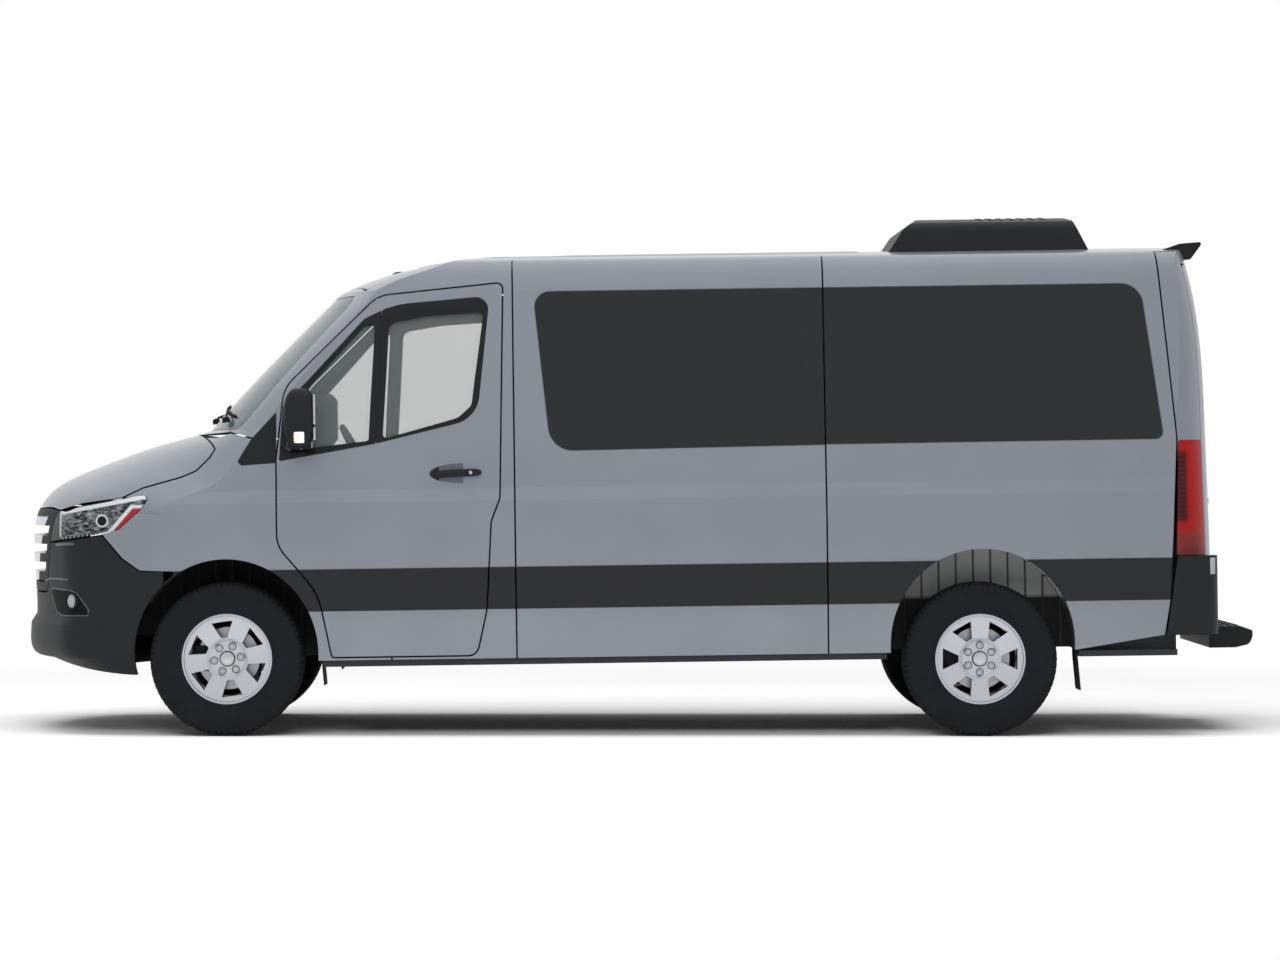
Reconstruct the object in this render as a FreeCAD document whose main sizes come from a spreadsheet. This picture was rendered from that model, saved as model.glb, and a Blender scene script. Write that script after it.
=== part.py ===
import FreeCAD, Part
import math
import os
import Sketcher

V = FreeCAD.Vector

# Low-roof passenger van. X forward, Y to its left, Z up, origin on the ground under its middle.
# "back" is a distance behind the front axle. Body pieces are drawn level and then tipped
# nose-down by the rake about the front axle; wheels and axles stay level.
sizes = {
    "front_axle_x": 1997, "wheelbase": 3665, "half_track": 855, "rake": 0.8,
    "tyre_radius": 375, "tyre_width": 244, "tread_width": 176, "shoulder_drop": 22,
    "rim_radius": 222, "rim_width": 190, "rim_wall": 12, "disc_radius": 152, "disc_thick": 28,
    "spoke_count": 6, "spoke_thick": 26, "spoke_root": 62, "spoke_tip": 118,
    "hub_radius": 78, "hub_cap_radius": 33,
    "bolt_circle": 65, "bolt_radius": 11, "stub_radius": 28, "bearing_gap": 0.3,
    "half_width": 1010, "strip_low": 602, "strip_high": 808, "strip_proud": 9,
    "sill_tuck": 24, "shoulder_low": 1130, "shoulder_high": 1190, "shoulder_step": 15,
    "belt_height": 1330, "belt_in": 30, "rail_height": 2150, "rail_in": 112,
    "rail_radius": 135, "roof_edge_drop": 43, "roof_height": 2345, "roof_half": 790,
    "body_low": 362, "sill_low": 331, "wall": 48, "skin": 30, "gap": 8, "glass": 5, "seat_gap": 0.3,
    "windscreen_bow": 155, "nose_bow": 150, "bow_half": 780, "nose_half": 650,
    "chin_height": 300, "chin_back": -480, "lip_back": -1054, "lip_low": 420, "lip_high": 545,
    "bumper_back": -1020, "bumper_top": 590, "grille_back": -1031, "nose_top_back": -985,
    "nose_top": 1135, "bonnet_mid_back": -600, "bonnet_mid": 1349, "cowl_back": -132,
    "cowl_height": 1488, "header_back": 526, "header_height": 2160, "tail_back": 4815,
    "tail_top_back": 4700, "tail_top": 2285, "arch_half": 448, "arch_centre": 400,
    "arch_rise": 462, "b_seam": 1412, "c_seam": 2925, "d_seam_top": 4552, "d_seam_mid": 4633,
    "d_seam_low": 4590, "engine_length": 640, "engine_width": 480, "engine_height": 560,
    "floor_height": 640, "floor_thick": 40,
    "kingpin_in": 95, "beam_radius": 48, "bonnet_thick": 26,
    "rear_door_half": 812, "rear_door_low": 612, "rear_door_high": 2236,
    "step_end": 5046, "step_half": 560,
    "liner_thick": 6, "front_liner_in": 500, "rear_liner_in": 700, "liner_out": 955,
    "steering_back": 640, "steering_side": 430, "steering_height": 1330, "steering_tilt": 28,
    "steering_radius": 190, "grip_radius": 15, "row_pitch": 765, "first_row": 1600, "row_count": 4,
    "seat_width": 440, "seat_depth": 460, "cushion_height": 1080, "cushion_thick": 120,
    "back_height": 640, "back_thick": 110,
}


def make_sheet(document):
    sheet = document.addObject("Spreadsheet::Sheet", "Sizes")
    for row, (alias, value) in enumerate(sizes.items(), start=1):
        sheet.set(f"A{row}", alias)
        sheet.set(f"B{row}", str(value))
        sheet.setAlias(f"B{row}", alias)
    document.recompute()
    return sheet


document = FreeCAD.newDocument("van")
sheet = make_sheet(document)


class Values:
    def __getattr__(self, alias):
        return float(sheet.get(alias))


val = Values()
nodes = []


def at(back, side, height):
    return V(val.front_axle_x - back, side, height)


def rake_placement():
    return FreeCAD.Placement(V(), FreeCAD.Rotation(V(0, 1, 0), val.rake), at(0, 0, val.tyre_radius))


def add_node(label, shape, raked=True):
    piece = document.addObject("Part::Feature", label)
    piece.Label = label
    piece.Shape = shape
    if raked:
        piece.Placement = rake_placement().multiply(shape.Placement)
    nodes.append(piece)
    return piece


# Outlines

def rounded_wire(corners, place):
    # corners are (first, second, radius); place turns the first two into a point
    points = [place(corner[0], corner[1]) for corner in corners]
    edges = []
    starts = []
    ends = []
    for index, corner in enumerate(corners):
        point = points[index]
        radius = corner[2]
        if radius == 0:
            starts.append(point)
            ends.append(point)
            continue
        towards_last = (points[index - 1] - point).normalize()
        towards_next = (points[(index + 1) % len(points)] - point).normalize()
        half_angle = towards_last.getAngle(towards_next) / 2
        reach = radius / math.tan(half_angle)
        middle = (towards_last + towards_next).normalize() * (radius / math.sin(half_angle) - radius)
        start = point + towards_last * reach
        end = point + towards_next * reach
        edges.append((index, Part.Arc(start, point + middle, end).toShape()))
        starts.append(start)
        ends.append(end)
    arcs = dict(edges)
    chain = []
    for index in range(len(corners)):
        if index in arcs:
            chain.append(arcs[index])
        following = (index + 1) % len(corners)
        if ends[index].distanceToPoint(starts[following]) > 0.001:
            chain.append(Part.makeLine(ends[index], starts[following]))
    return Part.Wire(chain)


def side_wire(corners):
    return rounded_wire(corners, lambda back, height: at(back, 0, height))


def side_block(corners, low_y, high_y, grow=0):
    # an outline in the side view carried across the width
    wire = side_wire(corners)
    if grow:
        wire = wire.makeOffset2D(grow, 0)
    face = Part.Face(wire)
    face.translate(V(0, low_y, 0))
    return face.extrude(V(0, high_y - low_y, 0))


def front_block(corners, low_back, high_back, grow=0):
    # an outline in the front view (side, height) carried along the van
    wire = rounded_wire(corners, lambda side, height: at(high_back, side, height))
    if grow:
        wire = wire.makeOffset2D(grow, 0)
    return Part.Face(wire).extrude(V(high_back - low_back, 0, 0))


def plan_block(corners, low_height, high_height, grow=0):
    wire = rounded_wire(corners, lambda back, side: at(back, side, low_height))
    if grow:
        wire = wire.makeOffset2D(grow, 0)
    return Part.Face(wire).extrude(V(0, 0, high_height - low_height))


def box(low_back, high_back, low_y, high_y, low_z, high_z):
    corner = at(high_back, low_y, low_z)
    return Part.makeBox(high_back - low_back, high_y - low_y, high_z - low_z, corner)


def mirrored(shape):
    return shape.mirror(V(), V(0, 1, 0))


def both_sides(shape):
    return Part.makeCompound([shape, mirrored(shape)])


# Outer form

def section_wire(inset, bottom):
    # half section from the sill up over the rail arc to the roof crown, then mirrored
    half = val.half_width - inset
    proud = val.strip_proud
    low = V(0, half - proud - val.sill_tuck, bottom)
    strip_foot = V(0, half - proud, val.strip_low)
    strip_low = V(0, half, val.strip_low + 4)
    strip_high = V(0, half, val.strip_high - 4)
    strip_top = V(0, half - proud + 3, val.strip_high)
    shoulder = V(0, half - 6, val.shoulder_low)
    shoulder_top = V(0, half - 6 - val.shoulder_step, val.shoulder_high)
    belt = V(0, half - val.belt_in, val.belt_height)
    waist = V(0, half - val.belt_in * 0.5 - val.rail_in * 0.5, (val.belt_height + val.rail_height) / 2 + 40)
    rail = V(0, half - val.rail_in, val.rail_height)
    crown = V(0, 0, val.roof_height - inset)
    roof_edge = V(0, val.roof_half - inset * 0.3, val.roof_height - val.roof_edge_drop - inset)
    lean = (rail - waist).normalize()
    side = Part.BSplineCurve()
    side.interpolate([shoulder_top, belt, waist, rail])
    door = Part.BSplineCurve()
    door.interpolate([strip_top, V(0, half, 960), shoulder])
    corner = Part.BSplineCurve()
    slope = V(0, -1, 2 * val.roof_edge_drop / val.roof_half)
    corner.interpolate([rail, roof_edge], Tangents=[lean * 150, slope.normalize() * 150],
                       TangentFlags=[True, True])
    left = [Part.makeLine(low, strip_foot), Part.makeLine(strip_foot, strip_low),
            Part.makeLine(strip_low, strip_high), Part.makeLine(strip_high, strip_top),
            door.toShape(), Part.makeLine(shoulder, shoulder_top), side.toShape(), corner.toShape()]
    right = [mirrored(edge) for edge in left]
    other_edge = V(0, -roof_edge.y, roof_edge.z)
    other_low = V(0, -low.y, low.z)
    roof = Part.Arc(roof_edge, crown, other_edge).toShape()
    floor = Part.makeLine(other_low, low)
    return Part.Wire(Part.__sortEdges__(left + right + [roof, floor]))


def windscreen_shift(side):
    reach = abs(side)
    past = max(reach - val.bow_half, 0)
    return val.windscreen_bow * (reach / val.bow_half) ** 2 + 0.002 * past * past


def nose_shift(side):
    reach = abs(side)
    past = max(reach - 820, 0)
    return val.nose_bow * (reach / val.nose_half) ** 2 + 0.0105 * past * past


def tail_shift(side):
    past = max(abs(side) - 700, 0)
    return 0.0023 * past * past


def bonnet_drop(side):
    return 200 * (abs(side) / 900) ** 3.6


def side_profile(side, inset, bottom):
    # each run is a list of (back, height); runs meet end to end round the side view
    nose = nose_shift(side)
    screen = windscreen_shift(side)
    tail = tail_shift(side)
    drop = bonnet_drop(side)
    chin = [(val.chin_back + nose, bottom), (-772 + nose, val.chin_height + 8), (-968 + nose, 381)]
    lip = [chin[-1], (-1044 + nose, 412), (val.lip_back + nose, 470), (val.lip_back + 4 + nose, val.lip_high)]
    if inset > val.glass * 3:
        chin = [chin[0], chin[-1]]
        lip = [chin[-1], (-1020 + nose, val.lip_high)]
    ledge = [lip[-1], (val.bumper_back + nose, val.bumper_top)]
    grille = [ledge[-1], (val.grille_back + 4 + nose, 798), (val.grille_back + nose, 950),
              (-1011 + nose, 1086), (val.nose_top_back + nose, val.nose_top - drop * 0.2)]
    extra = nose - screen
    bonnet = [grille[-1], (-925 + screen + extra * 0.9, 1203 - drop * 0.3),
              (-804 + screen + extra * 0.65, 1271 - drop * 0.45),
              (val.bonnet_mid_back + screen + extra * 0.35, val.bonnet_mid - drop * 0.6),
              (-396 + screen + extra * 0.12, 1417 - drop * 0.65), (-193 + screen, 1470 - drop * 0.15),
              (val.cowl_back + screen, val.cowl_height)]
    glass = [bonnet[-1], (115 + screen, 1757), (321 + screen, 1962),
             (val.header_back + screen, val.header_height)]
    roof = [glass[-1], (643 + screen, 2213), (844 + screen, 2272), (1180, 2315), (1700, 2340),
            (2500, val.roof_height), (4200, val.roof_height - 3), (4620 - tail, val.roof_height - 16)]
    edge = [roof[-1], (4676 - tail, 2316), (val.tail_top_back - tail, val.tail_top)]
    if inset > val.glass * 3:
        edge = [edge[0], edge[-1]]
    rear = [edge[-1], (4768 - tail, 1959), (4800 - tail, 1400), (val.tail_back - tail, 811),
            (val.tail_back - tail, 420)]
    runs = [chin, lip, ledge, grille, bonnet, glass, roof, edge, rear]
    return inset_runs(runs, inset)


def inset_runs(runs, inset):
    if inset == 0:
        return runs
    flat = [runs[0][0]]
    for run in runs:
        flat.extend(run[1:])
    moved = []
    for index, point in enumerate(flat):
        before = flat[max(index - 1, 0)]
        after = flat[min(index + 1, len(flat) - 1)]
        along_back = after[0] - before[0]
        along_height = after[1] - before[1]
        length = math.hypot(along_back, along_height)
        moved.append((point[0] + along_height / length * inset, point[1] - along_back / length * inset))
    result = []
    place = 0
    for run in runs:
        result.append(moved[place:place + len(run)])
        place += len(run) - 1
    return result


def profile_wire(station, inset, bottom):
    # the deeper forms are narrower, with each station's profile at its share of the width
    runs = side_profile(station, inset, bottom)
    side = station * (val.half_width - inset) / val.half_width
    edges = []
    for run in runs:
        points = [at(back, side, height) for back, height in run]
        if len(points) == 2:
            edges.append(Part.makeLine(points[0], points[1]))
        else:
            curve = Part.BSplineCurve()
            curve.interpolate(points)
            edges.append(curve.toShape())
    first = at(runs[0][0][0], side, runs[0][0][1])
    last = at(runs[-1][-1][0], side, runs[-1][-1][1])
    corner = at(runs[-1][-1][0], side, runs[0][0][1])
    edges.append(Part.makeLine(last, corner))
    edges.append(Part.makeLine(corner, first))
    return Part.Wire(edges)


def outer_form(inset, bottom):
    stations = [0, 450, 750, 860, 930, 980, 1030]
    sides = [-side for side in reversed(stations[1:])] + stations
    loft = Part.makeLoft([profile_wire(side, inset, bottom) for side in sides], True, False)
    section = Part.Face(section_wire(inset, bottom))
    section.translate(at(val.tail_back + 400, 0, 0))
    tube = section.extrude(V(val.tail_back + 2000, 0, 0))
    return tube.common(loft)


forms = {}


def form(inset):
    if inset not in forms:
        bottom = val.chin_height if inset == 0 else val.chin_height - 100
        forms[inset] = outer_form(inset, bottom)
    return forms[inset]


def shell(thick, region):
    # the part of the wall that lies in a region
    return form(0).common(region).cut(form(thick))


def pane(region):
    return shell(val.glass, region)


def rebate(region):
    # room for a bonded pane and its bed
    return region.cut(form(val.glass + val.seat_gap))


def solids(shape, smallest=1000):
    kept = [solid for solid in shape.Solids if solid.Volume > smallest]
    return kept[0] if len(kept) == 1 else Part.makeCompound(kept)


# Outlines in the side view

def arch_block(centre_back, low_y, high_y, grow=0):
    half = val.arch_half + grow
    rise = val.arch_rise + grow
    centre = at(centre_back, low_y, val.arch_centre)
    axes = (centre + V(half, 0, 0), centre + V(0, 0, rise), centre)
    if half > rise:
        oval = Part.Ellipse(*axes)
    else:
        oval = Part.Ellipse(axes[1], axes[0], centre)
    low = val.arch_centre - 260
    face = Part.Face(Part.Wire([oval.toShape()]))
    oval_block = face.extrude(V(0, high_y - low_y, 0))
    leg = box(centre_back - half, centre_back + half, low_y, high_y, low, val.arch_centre)
    return oval_block.fuse(leg).removeSplitter()


def door_outline():
    rear = val.b_seam - 50
    return [(258, 1340, 60), (300, 1690, 160), (760, 2130, 150), (rear, 2186, 25),
            (rear - 26, 1140, 90), (rear - 70, 1030, 90), (rear - 96, 600, 400),
            (rear - 147, 380, 50), (516, 380, 12), (455, 690, 330), (258, 925, 150)]


def main_window():
    return [(772, 1432, 18), (809, 2000, 45), (1010, 2032, 120), (1272, 2046, 20), (1208, 1590, 40),
            (1140, 1530, 90)]


def quarter_window():
    return [(300, 1380, 14), (305, 1572, 30), (690, 1985, 18), (742, 1990, 10), (706, 1425, 14)]


def front_pane():
    right = val.c_seam - val.gap / 2
    return [(1512, 2142, 75), (right, 2142, 3), (right, 1378, 3), (1590, 1366, 120)]


def rear_pane():
    left = val.c_seam + val.gap / 2
    return [(left, 2142, 3), (4470, 2142, 110), (4568, 1384, 35), (left, 1380, 3)]


def d_seam(shift):
    return [(val.d_seam_top - 10 + shift, 2420, 0), (val.d_seam_mid + shift, 1376, 300),
            (val.d_seam_low + shift, 600, 300), (4562 + shift, 432, 0)]


def tail_lamp_outline():
    return [(4640, 1374, 10), (4900, 1374, 0), (4900, 816, 0), (4622, 816, 14)]


def headlamp_outline():
    return [(-1000, 1130, 0), (-790, 1098, 60), (-700, 1132, 60), (-508, 1163, 50), (-392, 1170, 10),
            (-374, 1160, 8), (-409, 1110, 60), (-520, 1014, 40), (-640, 987, 60), (-1000, 940, 0)]


def bonnet_outline():
    return [(-1200, 1126, 0), (-881, 1122, 20), (-829, 1110, 20), (-702, 1143, 60), (-508, 1167, 60),
            (-403, 1216, 60), (-219, 1265, 60), (-143, 1295, 60), (-77, 1360, 60), (-24, 1446, 20),
            (-30, 1700, 0), (-1200, 1700, 0)]


def fender_outline():
    return [(-1000, 1000, 0), (-600, 990, 20), (-500, 872, 40), (-414, 812, 30), (-250, 806, 0),
            (-250, val.body_low, 0), (800, val.body_low, 0), (800, 1440, 0), (150, 1440, 10),
            (24, 1472, 10), (-40, 1452, 0), (-1000, 1452, 0)]


def bumper_outline():
    return [(-1200, 280, 0), (-300, 280, 0), (-300, 812 - 8, 0), (-410, 804, 30), (-507, 866, 40),
            (-604, 982, 20), (-1000, 930, 0), (-1200, 930, 0)]


def cab_frame_outline():
    return [(-300, 1460, 0), (26, 1480, 10), (152, 1448, 10), (808, 1448, 0), (808, val.body_low, 0),
            (val.b_seam - val.gap / 2, val.body_low, 0), (val.b_seam - val.gap / 2, 2420, 0),
            (-300, 2420, 0)]


# Outlines seen from the front or above

def grille_outline(grow=0):
    return [(-690 - grow, 1118 + grow, 30), (-560 - grow, 706 - grow, 60), (560 + grow, 706 - grow, 60),
            (690 + grow, 1118 + grow, 30)]


def windscreen_outline():
    return [(-860, 1494, 40), (-772, 2138, 90), (772, 2138, 90), (860, 1494, 40)]


def rear_window_outline():
    return [(70, 1432, 40), (752, 1432, 60), (722, 2120, 80), (70, 2120, 40)]


# Body panels

def left_door_block(grow=0):
    return side_block(door_outline(), 300, 1200, grow)


def add_side_panels():
    seam = val.gap / 2
    top = val.roof_height + 80
    roof_cut = val.roof_half + seam
    front_region = side_block([(val.b_seam + seam, val.body_low, 0), (val.c_seam - seam, val.body_low, 0),
                               (val.c_seam - seam, top, 0), (val.b_seam + seam, top, 0)], roof_cut, 1200)
    seam_back = d_seam(-seam)
    rear_region = side_block([(val.c_seam + seam, val.body_low, 0), (4110, val.body_low, 0)]
                             + list(reversed(seam_back)) + [(val.c_seam + seam, top, 0)], roof_cut, 1200)
    front_hole = side_block(front_pane(), 300, 1200, -48)
    rear_hole = side_block(rear_pane(), 300, 1200, -48)
    front_glass = side_block(front_pane(), 300, 1200)
    rear_glass = side_block(rear_pane(), 300, 1200)
    front = shell(val.wall, front_region).cut(front_hole).cut(rebate(side_block(front_pane(), 300, 1200, 3)))
    rear = shell(val.wall, rear_region).cut(rear_hole).cut(rebate(side_block(rear_pane(), 300, 1200, 3)))
    rear = rear.cut(arch_block(val.wheelbase + 10, 300, 1200))
    add_node("side_panel_left_front", solids(front))
    add_node("side_panel_left_rear", solids(rear))
    add_node("sliding_door", mirrored(solids(front)))
    add_node("side_panel_right_rear", mirrored(solids(rear)))
    panes = Part.makeCompound([solids(pane(front_glass)), solids(pane(rear_glass))])
    add_node("side_glass_left", panes)
    add_node("side_glass_right", mirrored(panes))


def add_rear_corners():
    seam = val.gap / 2
    region = side_block(d_seam(seam)[:2] + [(val.d_seam_mid - 8, 812 + val.gap, 0), (4950, 812 + val.gap, 0),
                                            (4950, 2420, 0)],
                        val.rear_door_half + seam, 1200)
    corner = shell(val.wall, region)
    lamp_region = side_block(tail_lamp_outline(), val.rear_door_half + val.gap, 1200)
    lamp_room = side_block(tail_lamp_outline(), val.rear_door_half - 20, 1200, 2)
    corner = corner.cut(lamp_room.cut(form(36)))
    add_node("rear_corners", both_sides(solids(corner)))
    lamp = form(0).common(lamp_region).cut(form(36 - val.seat_gap))
    add_node("tail_lamps", both_sides(solids(lamp)))


def add_roof():
    seam = val.gap / 2
    side = val.roof_half - seam
    region = plan_block([(700, side, 0), (4900, side, 0), (4900, -side, 0), (700, -side, 0), (552, 0, 900)],
                        val.rear_door_high + seam, val.roof_height + 60)
    low_region = plan_block([(700, side, 0), (4500, side, 0), (4500, -side, 0), (700, -side, 0),
                             (552, 0, 900)], 2170, val.roof_height + 60)
    roof = shell(val.wall, region.fuse(low_region))
    add_node("roof", solids(roof))


def bonnet_plan(grow=0):
    rear = val.cowl_back - 58 + grow
    side_rear = -20 + grow
    arc = Part.Arc(at(side_rear, 960, 1000), at(rear, 0, 1000), at(side_rear, -960, 1000)).toShape()
    corners = [at(side_rear, -960, 1000), at(-1300, -960, 1000), at(-1300, 960, 1000), at(side_rear, 960, 1000)]
    lines = [Part.makeLine(corners[0], corners[1]), Part.makeLine(corners[1], corners[2]),
             Part.makeLine(corners[2], corners[3])]
    return Part.Face(Part.Wire([arc] + lines)).extrude(V(0, 0, 800))


def bonnet_region(grow=0):
    return side_block(bonnet_outline(), -1200, 1200, grow).common(bonnet_plan(grow))


def add_bonnet():
    add_node("bonnet", solids(shell(val.bonnet_thick, bonnet_region())))


def roof_clear():
    side = val.roof_half + val.gap / 2
    return plan_block([(690, side, 0), (4900, side, 0), (4900, -side, 0), (690, -side, 0), (540, 0, 900)],
                      2160, val.roof_height + 60)


def add_cab_frame():
    frame = shell(val.wall, side_block(cab_frame_outline(), -1200, 1200))
    frame = frame.cut(left_door_block(val.gap)).cut(mirrored(left_door_block(val.gap)))
    frame = frame.cut(roof_clear()).cut(bonnet_region(val.gap))
    frame = frame.cut(front_block(windscreen_outline(), -400, 900, -42))
    frame = frame.cut(rebate(front_block(windscreen_outline(), -400, 900, 3)))
    add_node("cab_frame", solids(frame))
    add_node("windscreen", solids(pane(front_block(windscreen_outline(), -400, 900))))


def add_fenders():
    fender = shell(val.skin, side_block(fender_outline(), 500, 1200))
    fender = fender.cut(bonnet_region(val.gap)).cut(left_door_block(val.gap))
    fender = fender.cut(arch_block(0, 300, 1200))
    fender = fender.cut(side_block(headlamp_outline(), 300, 1200, val.gap / 2))
    fender = fender.cut(front_block(grille_outline(), -1200, -500, val.gap))
    add_node("fenders", both_sides(solids(fender, 50000)))


def add_front_end():
    bumper = shell(val.skin, side_block(bumper_outline(), -1200, 1200))
    lamp_room = side_block(headlamp_outline(), 300, 1200, val.gap / 2)
    bumper = bumper.cut(lamp_room).cut(mirrored(lamp_room)).cut(arch_block(0, -1200, 1200))
    bumper = bumper.cut(front_block(grille_outline(), -1300, -500, val.gap))
    add_node("front_bumper", solids(bumper, 50000))
    lamp_region = side_block(headlamp_outline(), 600, 1200)
    lamp = form(0).common(lamp_region).cut(form(48))
    lamp = lamp.cut(front_block(grille_outline(), -1300, -500, val.gap)).cut(bonnet_region(val.gap))
    add_node("headlamps", both_sides(solids(lamp, 50000)))
    grille = shell(val.wall, front_block(grille_outline(), -1300, -500))
    grille = grille.cut(bonnet_region(val.gap))
    opening = front_block(grille_outline(), -1300, -500, -45)
    bars = []
    for level in (760, 850, 940, 1030):
        bars.append(box(-1200, -500, -700, 700, level, level + 42))
    bar_shape = bars[0].multiFuse(bars[1:])
    bars_in_grille = grille.common(opening).common(bar_shape)
    add_node("grille", solids(grille.cut(opening).fuse(bars_in_grille)))


def add_front_doors():
    block = left_door_block()
    lower = block.common(box(0, 2000, 300, 1200, 0, val.belt_height + 60))
    upper = block.common(box(0, 2000, 300, 1200, val.belt_height + 60, 2400))
    door = shell(val.wall, lower).fuse(shell(36, upper)).removeSplitter()
    door = door.cut(side_block(main_window(), 300, 1200)).cut(side_block(quarter_window(), 300, 1200))
    door = solids(door)
    add_node("front_door_left", door)
    add_node("front_door_right", mirrored(door))
    panes = []
    for outline in (main_window(), quarter_window()):
        region = side_block(outline, 300, 1200, -val.seat_gap)
        panes.append(solids(form(10).common(region).cut(form(15))))
    glass = Part.makeCompound(panes)
    add_node("front_door_glass_left", glass)
    add_node("front_door_glass_right", mirrored(glass))


def add_rear_doors():
    seam = val.gap / 2
    meeting = seam + 1
    outline = [(meeting, val.rear_door_low, 0), (val.rear_door_half - seam, val.rear_door_low, 0),
               (val.rear_door_half - seam, val.rear_door_high - seam, 40), (meeting, val.rear_door_high - seam, 0)]
    door = shell(val.wall, front_block(outline, 4550, 4950))
    door = door.cut(box(4400, 4950, 0, meeting + 12, 500, 2400).common(form(15)))
    glass_region = front_block(rear_window_outline(), 4550, 4950)
    door = door.cut(front_block(rear_window_outline(), 4550, 4950, -40))
    door = door.cut(rebate(front_block(rear_window_outline(), 4550, 4950, 3)))
    door = solids(door)
    glass = solids(pane(glass_region))
    add_node("rear_door_left", door)
    add_node("rear_door_right", mirrored(door))
    add_node("rear_door_glass_left", glass)
    add_node("rear_door_glass_right", mirrored(glass))


def add_rear_bumper():
    outer = plan_block([(4500, 1006, 0), (4830, 1006, 115), (4830, -1006, 115), (4500, -1006, 0)], 430, 812)
    inner = plan_block([(4400, 946, 0), (4765, 946, 80), (4765, -946, 80), (4400, -946, 0)], 400, 900)
    front = side_block([(4628, 830, 0), (4594, 600, 100), (4566, 420, 0), (5000, 420, 0), (5000, 830, 0)],
                       -1200, 1200)
    room = box(4600, 4900, -val.rear_door_half - 4, val.rear_door_half + 4, val.rear_door_low - val.gap, 830)
    add_node("rear_bumper", solids(outer.cut(inner).common(front).cut(room)))
    step = side_block([(4830.3, 346, 4), (4960, 346, 30), (5030, 362, 30), (val.step_end, 400, 20),
                       (val.step_end, 430, 12), (4985, 452, 20), (4830.3, 452, 4)], -val.step_half, val.step_half)
    add_node("rear_step", step)


def add_floor():
    low = val.floor_height - val.floor_thick
    edge = val.half_width - val.strip_proud - val.sill_tuck - val.wall - val.seat_gap
    half = edge - 20
    sill = val.half_width - 36
    wire = Part.makePolygon([V(0, -sill, val.sill_low), V(0, -sill, val.body_low - 2), V(0, -edge, val.body_low - 2),
                             V(0, -edge, val.floor_height), V(0, edge, val.floor_height),
                             V(0, edge, val.body_low - 2), V(0, sill, val.body_low - 2), V(0, sill, val.sill_low),
                             V(0, half - 40, val.sill_low), V(0, half - 40, low), V(0, 40 - half, low),
                             V(0, 40 - half, val.sill_low), V(0, -sill, val.sill_low)])
    pan = Part.Face(wire).extrude(V(-(4620 - 470), 0, 0))
    pan.translate(V(at(470, 0, 0).x, 0, 0))
    rear_room = arch_block(val.wheelbase + 10, val.rear_liner_in - 8, 1200, 18)
    front_room = arch_block(0, val.front_liner_in - 8, 1200, 12)
    pan = pan.cut(rear_room).cut(mirrored(rear_room)).cut(front_room).cut(mirrored(front_room))
    front = box(80, 470.0, 8 - val.front_liner_in, val.front_liner_in - 8, low, val.floor_height)
    pan = pan.fuse(front)
    add_node("floor", solids(pan))


add_side_panels()
add_rear_corners()
add_roof()
add_bonnet()
add_cab_frame()
add_fenders()
add_front_end()
add_front_doors()
add_rear_doors()
add_rear_bumper()
add_floor()


# Pieces under the body and on it

def add_arch_liners():
    liners = []
    for centre, inner in ((0, val.front_liner_in), (val.wheelbase + 10, val.rear_liner_in)):
        thick = val.liner_thick
        shape = arch_block(centre, inner, val.liner_out, thick)
        shape = shape.cut(arch_block(centre, inner + thick, val.liner_out + 1))
        shape = shape.cut(box(centre - 600, centre + 600, 0, 1200, 0, val.body_low + 6))
        liners.append(shape.common(form(val.wall + 2)))
    rear = liners[1].cut(box(val.wheelbase - 100, val.wheelbase + 100, 0, val.rear_liner_in + 20, 0, 480))
    front = liners[0].cut(box(-90, 90, 0, val.front_liner_in + 20, 0, 560))
    front = front.cut(box(-500, -380, 0, 1200, 0, 1000))
    add_node("arch_liners", both_sides(Part.makeCompound([solids(front), solids(rear)])))


def add_mudflaps():
    # each hangs against the front end of the floor's edge behind its wheel
    flaps = []
    for seat, low in ((470, 240), (val.wheelbase + 10 + val.arch_half + 18, 165)):
        front = seat - val.seat_gap - 8
        bend = val.sill_low - 2
        lean = (bend - low) / 12
        top = val.arch_centre - 2
        flaps.append(side_block([(front, top, 0), (front, bend, 0), (front + lean, low, 0),
                                 (front + lean + 8, low, 0), (front + 8, bend, 0), (front + 8, top, 0)], 735, 925))
    flaps = Part.makeCompound(flaps)
    add_node("mudflaps", both_sides(flaps))


def add_aircon():
    block = side_block([(3255, 2300, 0), (3350, 2440, 60), (3440, 2504, 70), (4172, 2512, 40), (4275, 2300, 0)],
                       -540, 540)
    rounded = front_block([(-540, 2290, 0), (-500, 2470, 60), (0, 2516, 2500), (500, 2470, 60), (540, 2290, 0)],
                          3200, 4400)
    add_node("roof_air_conditioner", solids(block.common(rounded).cut(form(0))))


def add_spoiler():
    lip = side_block([(4600, 2310, 0), (4692, 2341, 30), (4794, 2348, 4), (4800, 2335, 6), (4745, 2262, 20),
                      (4650, 2262, 0)], -700, 700)
    add_node("roof_spoiler", solids(lip.cut(form(0))))


def add_mirrors():
    housing = side_block([(300, 1420, 30), (318, 1600, 90), (372, 1690, 40), (448, 1660, 40), (455, 1440, 30)],
                         1015, 1172)
    front = front_block([(1015, 1430, 30), (1015, 1670, 60), (1172, 1650, 60), (1168, 1420, 50)], 250, 500)
    arm = side_block([(300, 1385, 12), (300, 1460, 12), (430, 1460, 12), (430, 1385, 12)], 960, 1120)
    mirror = housing.common(front).fuse(arm).cut(form(0))
    mirror = solids(mirror)
    add_node("mirror_left", mirror)
    add_node("mirror_right", mirrored(mirror))


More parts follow.
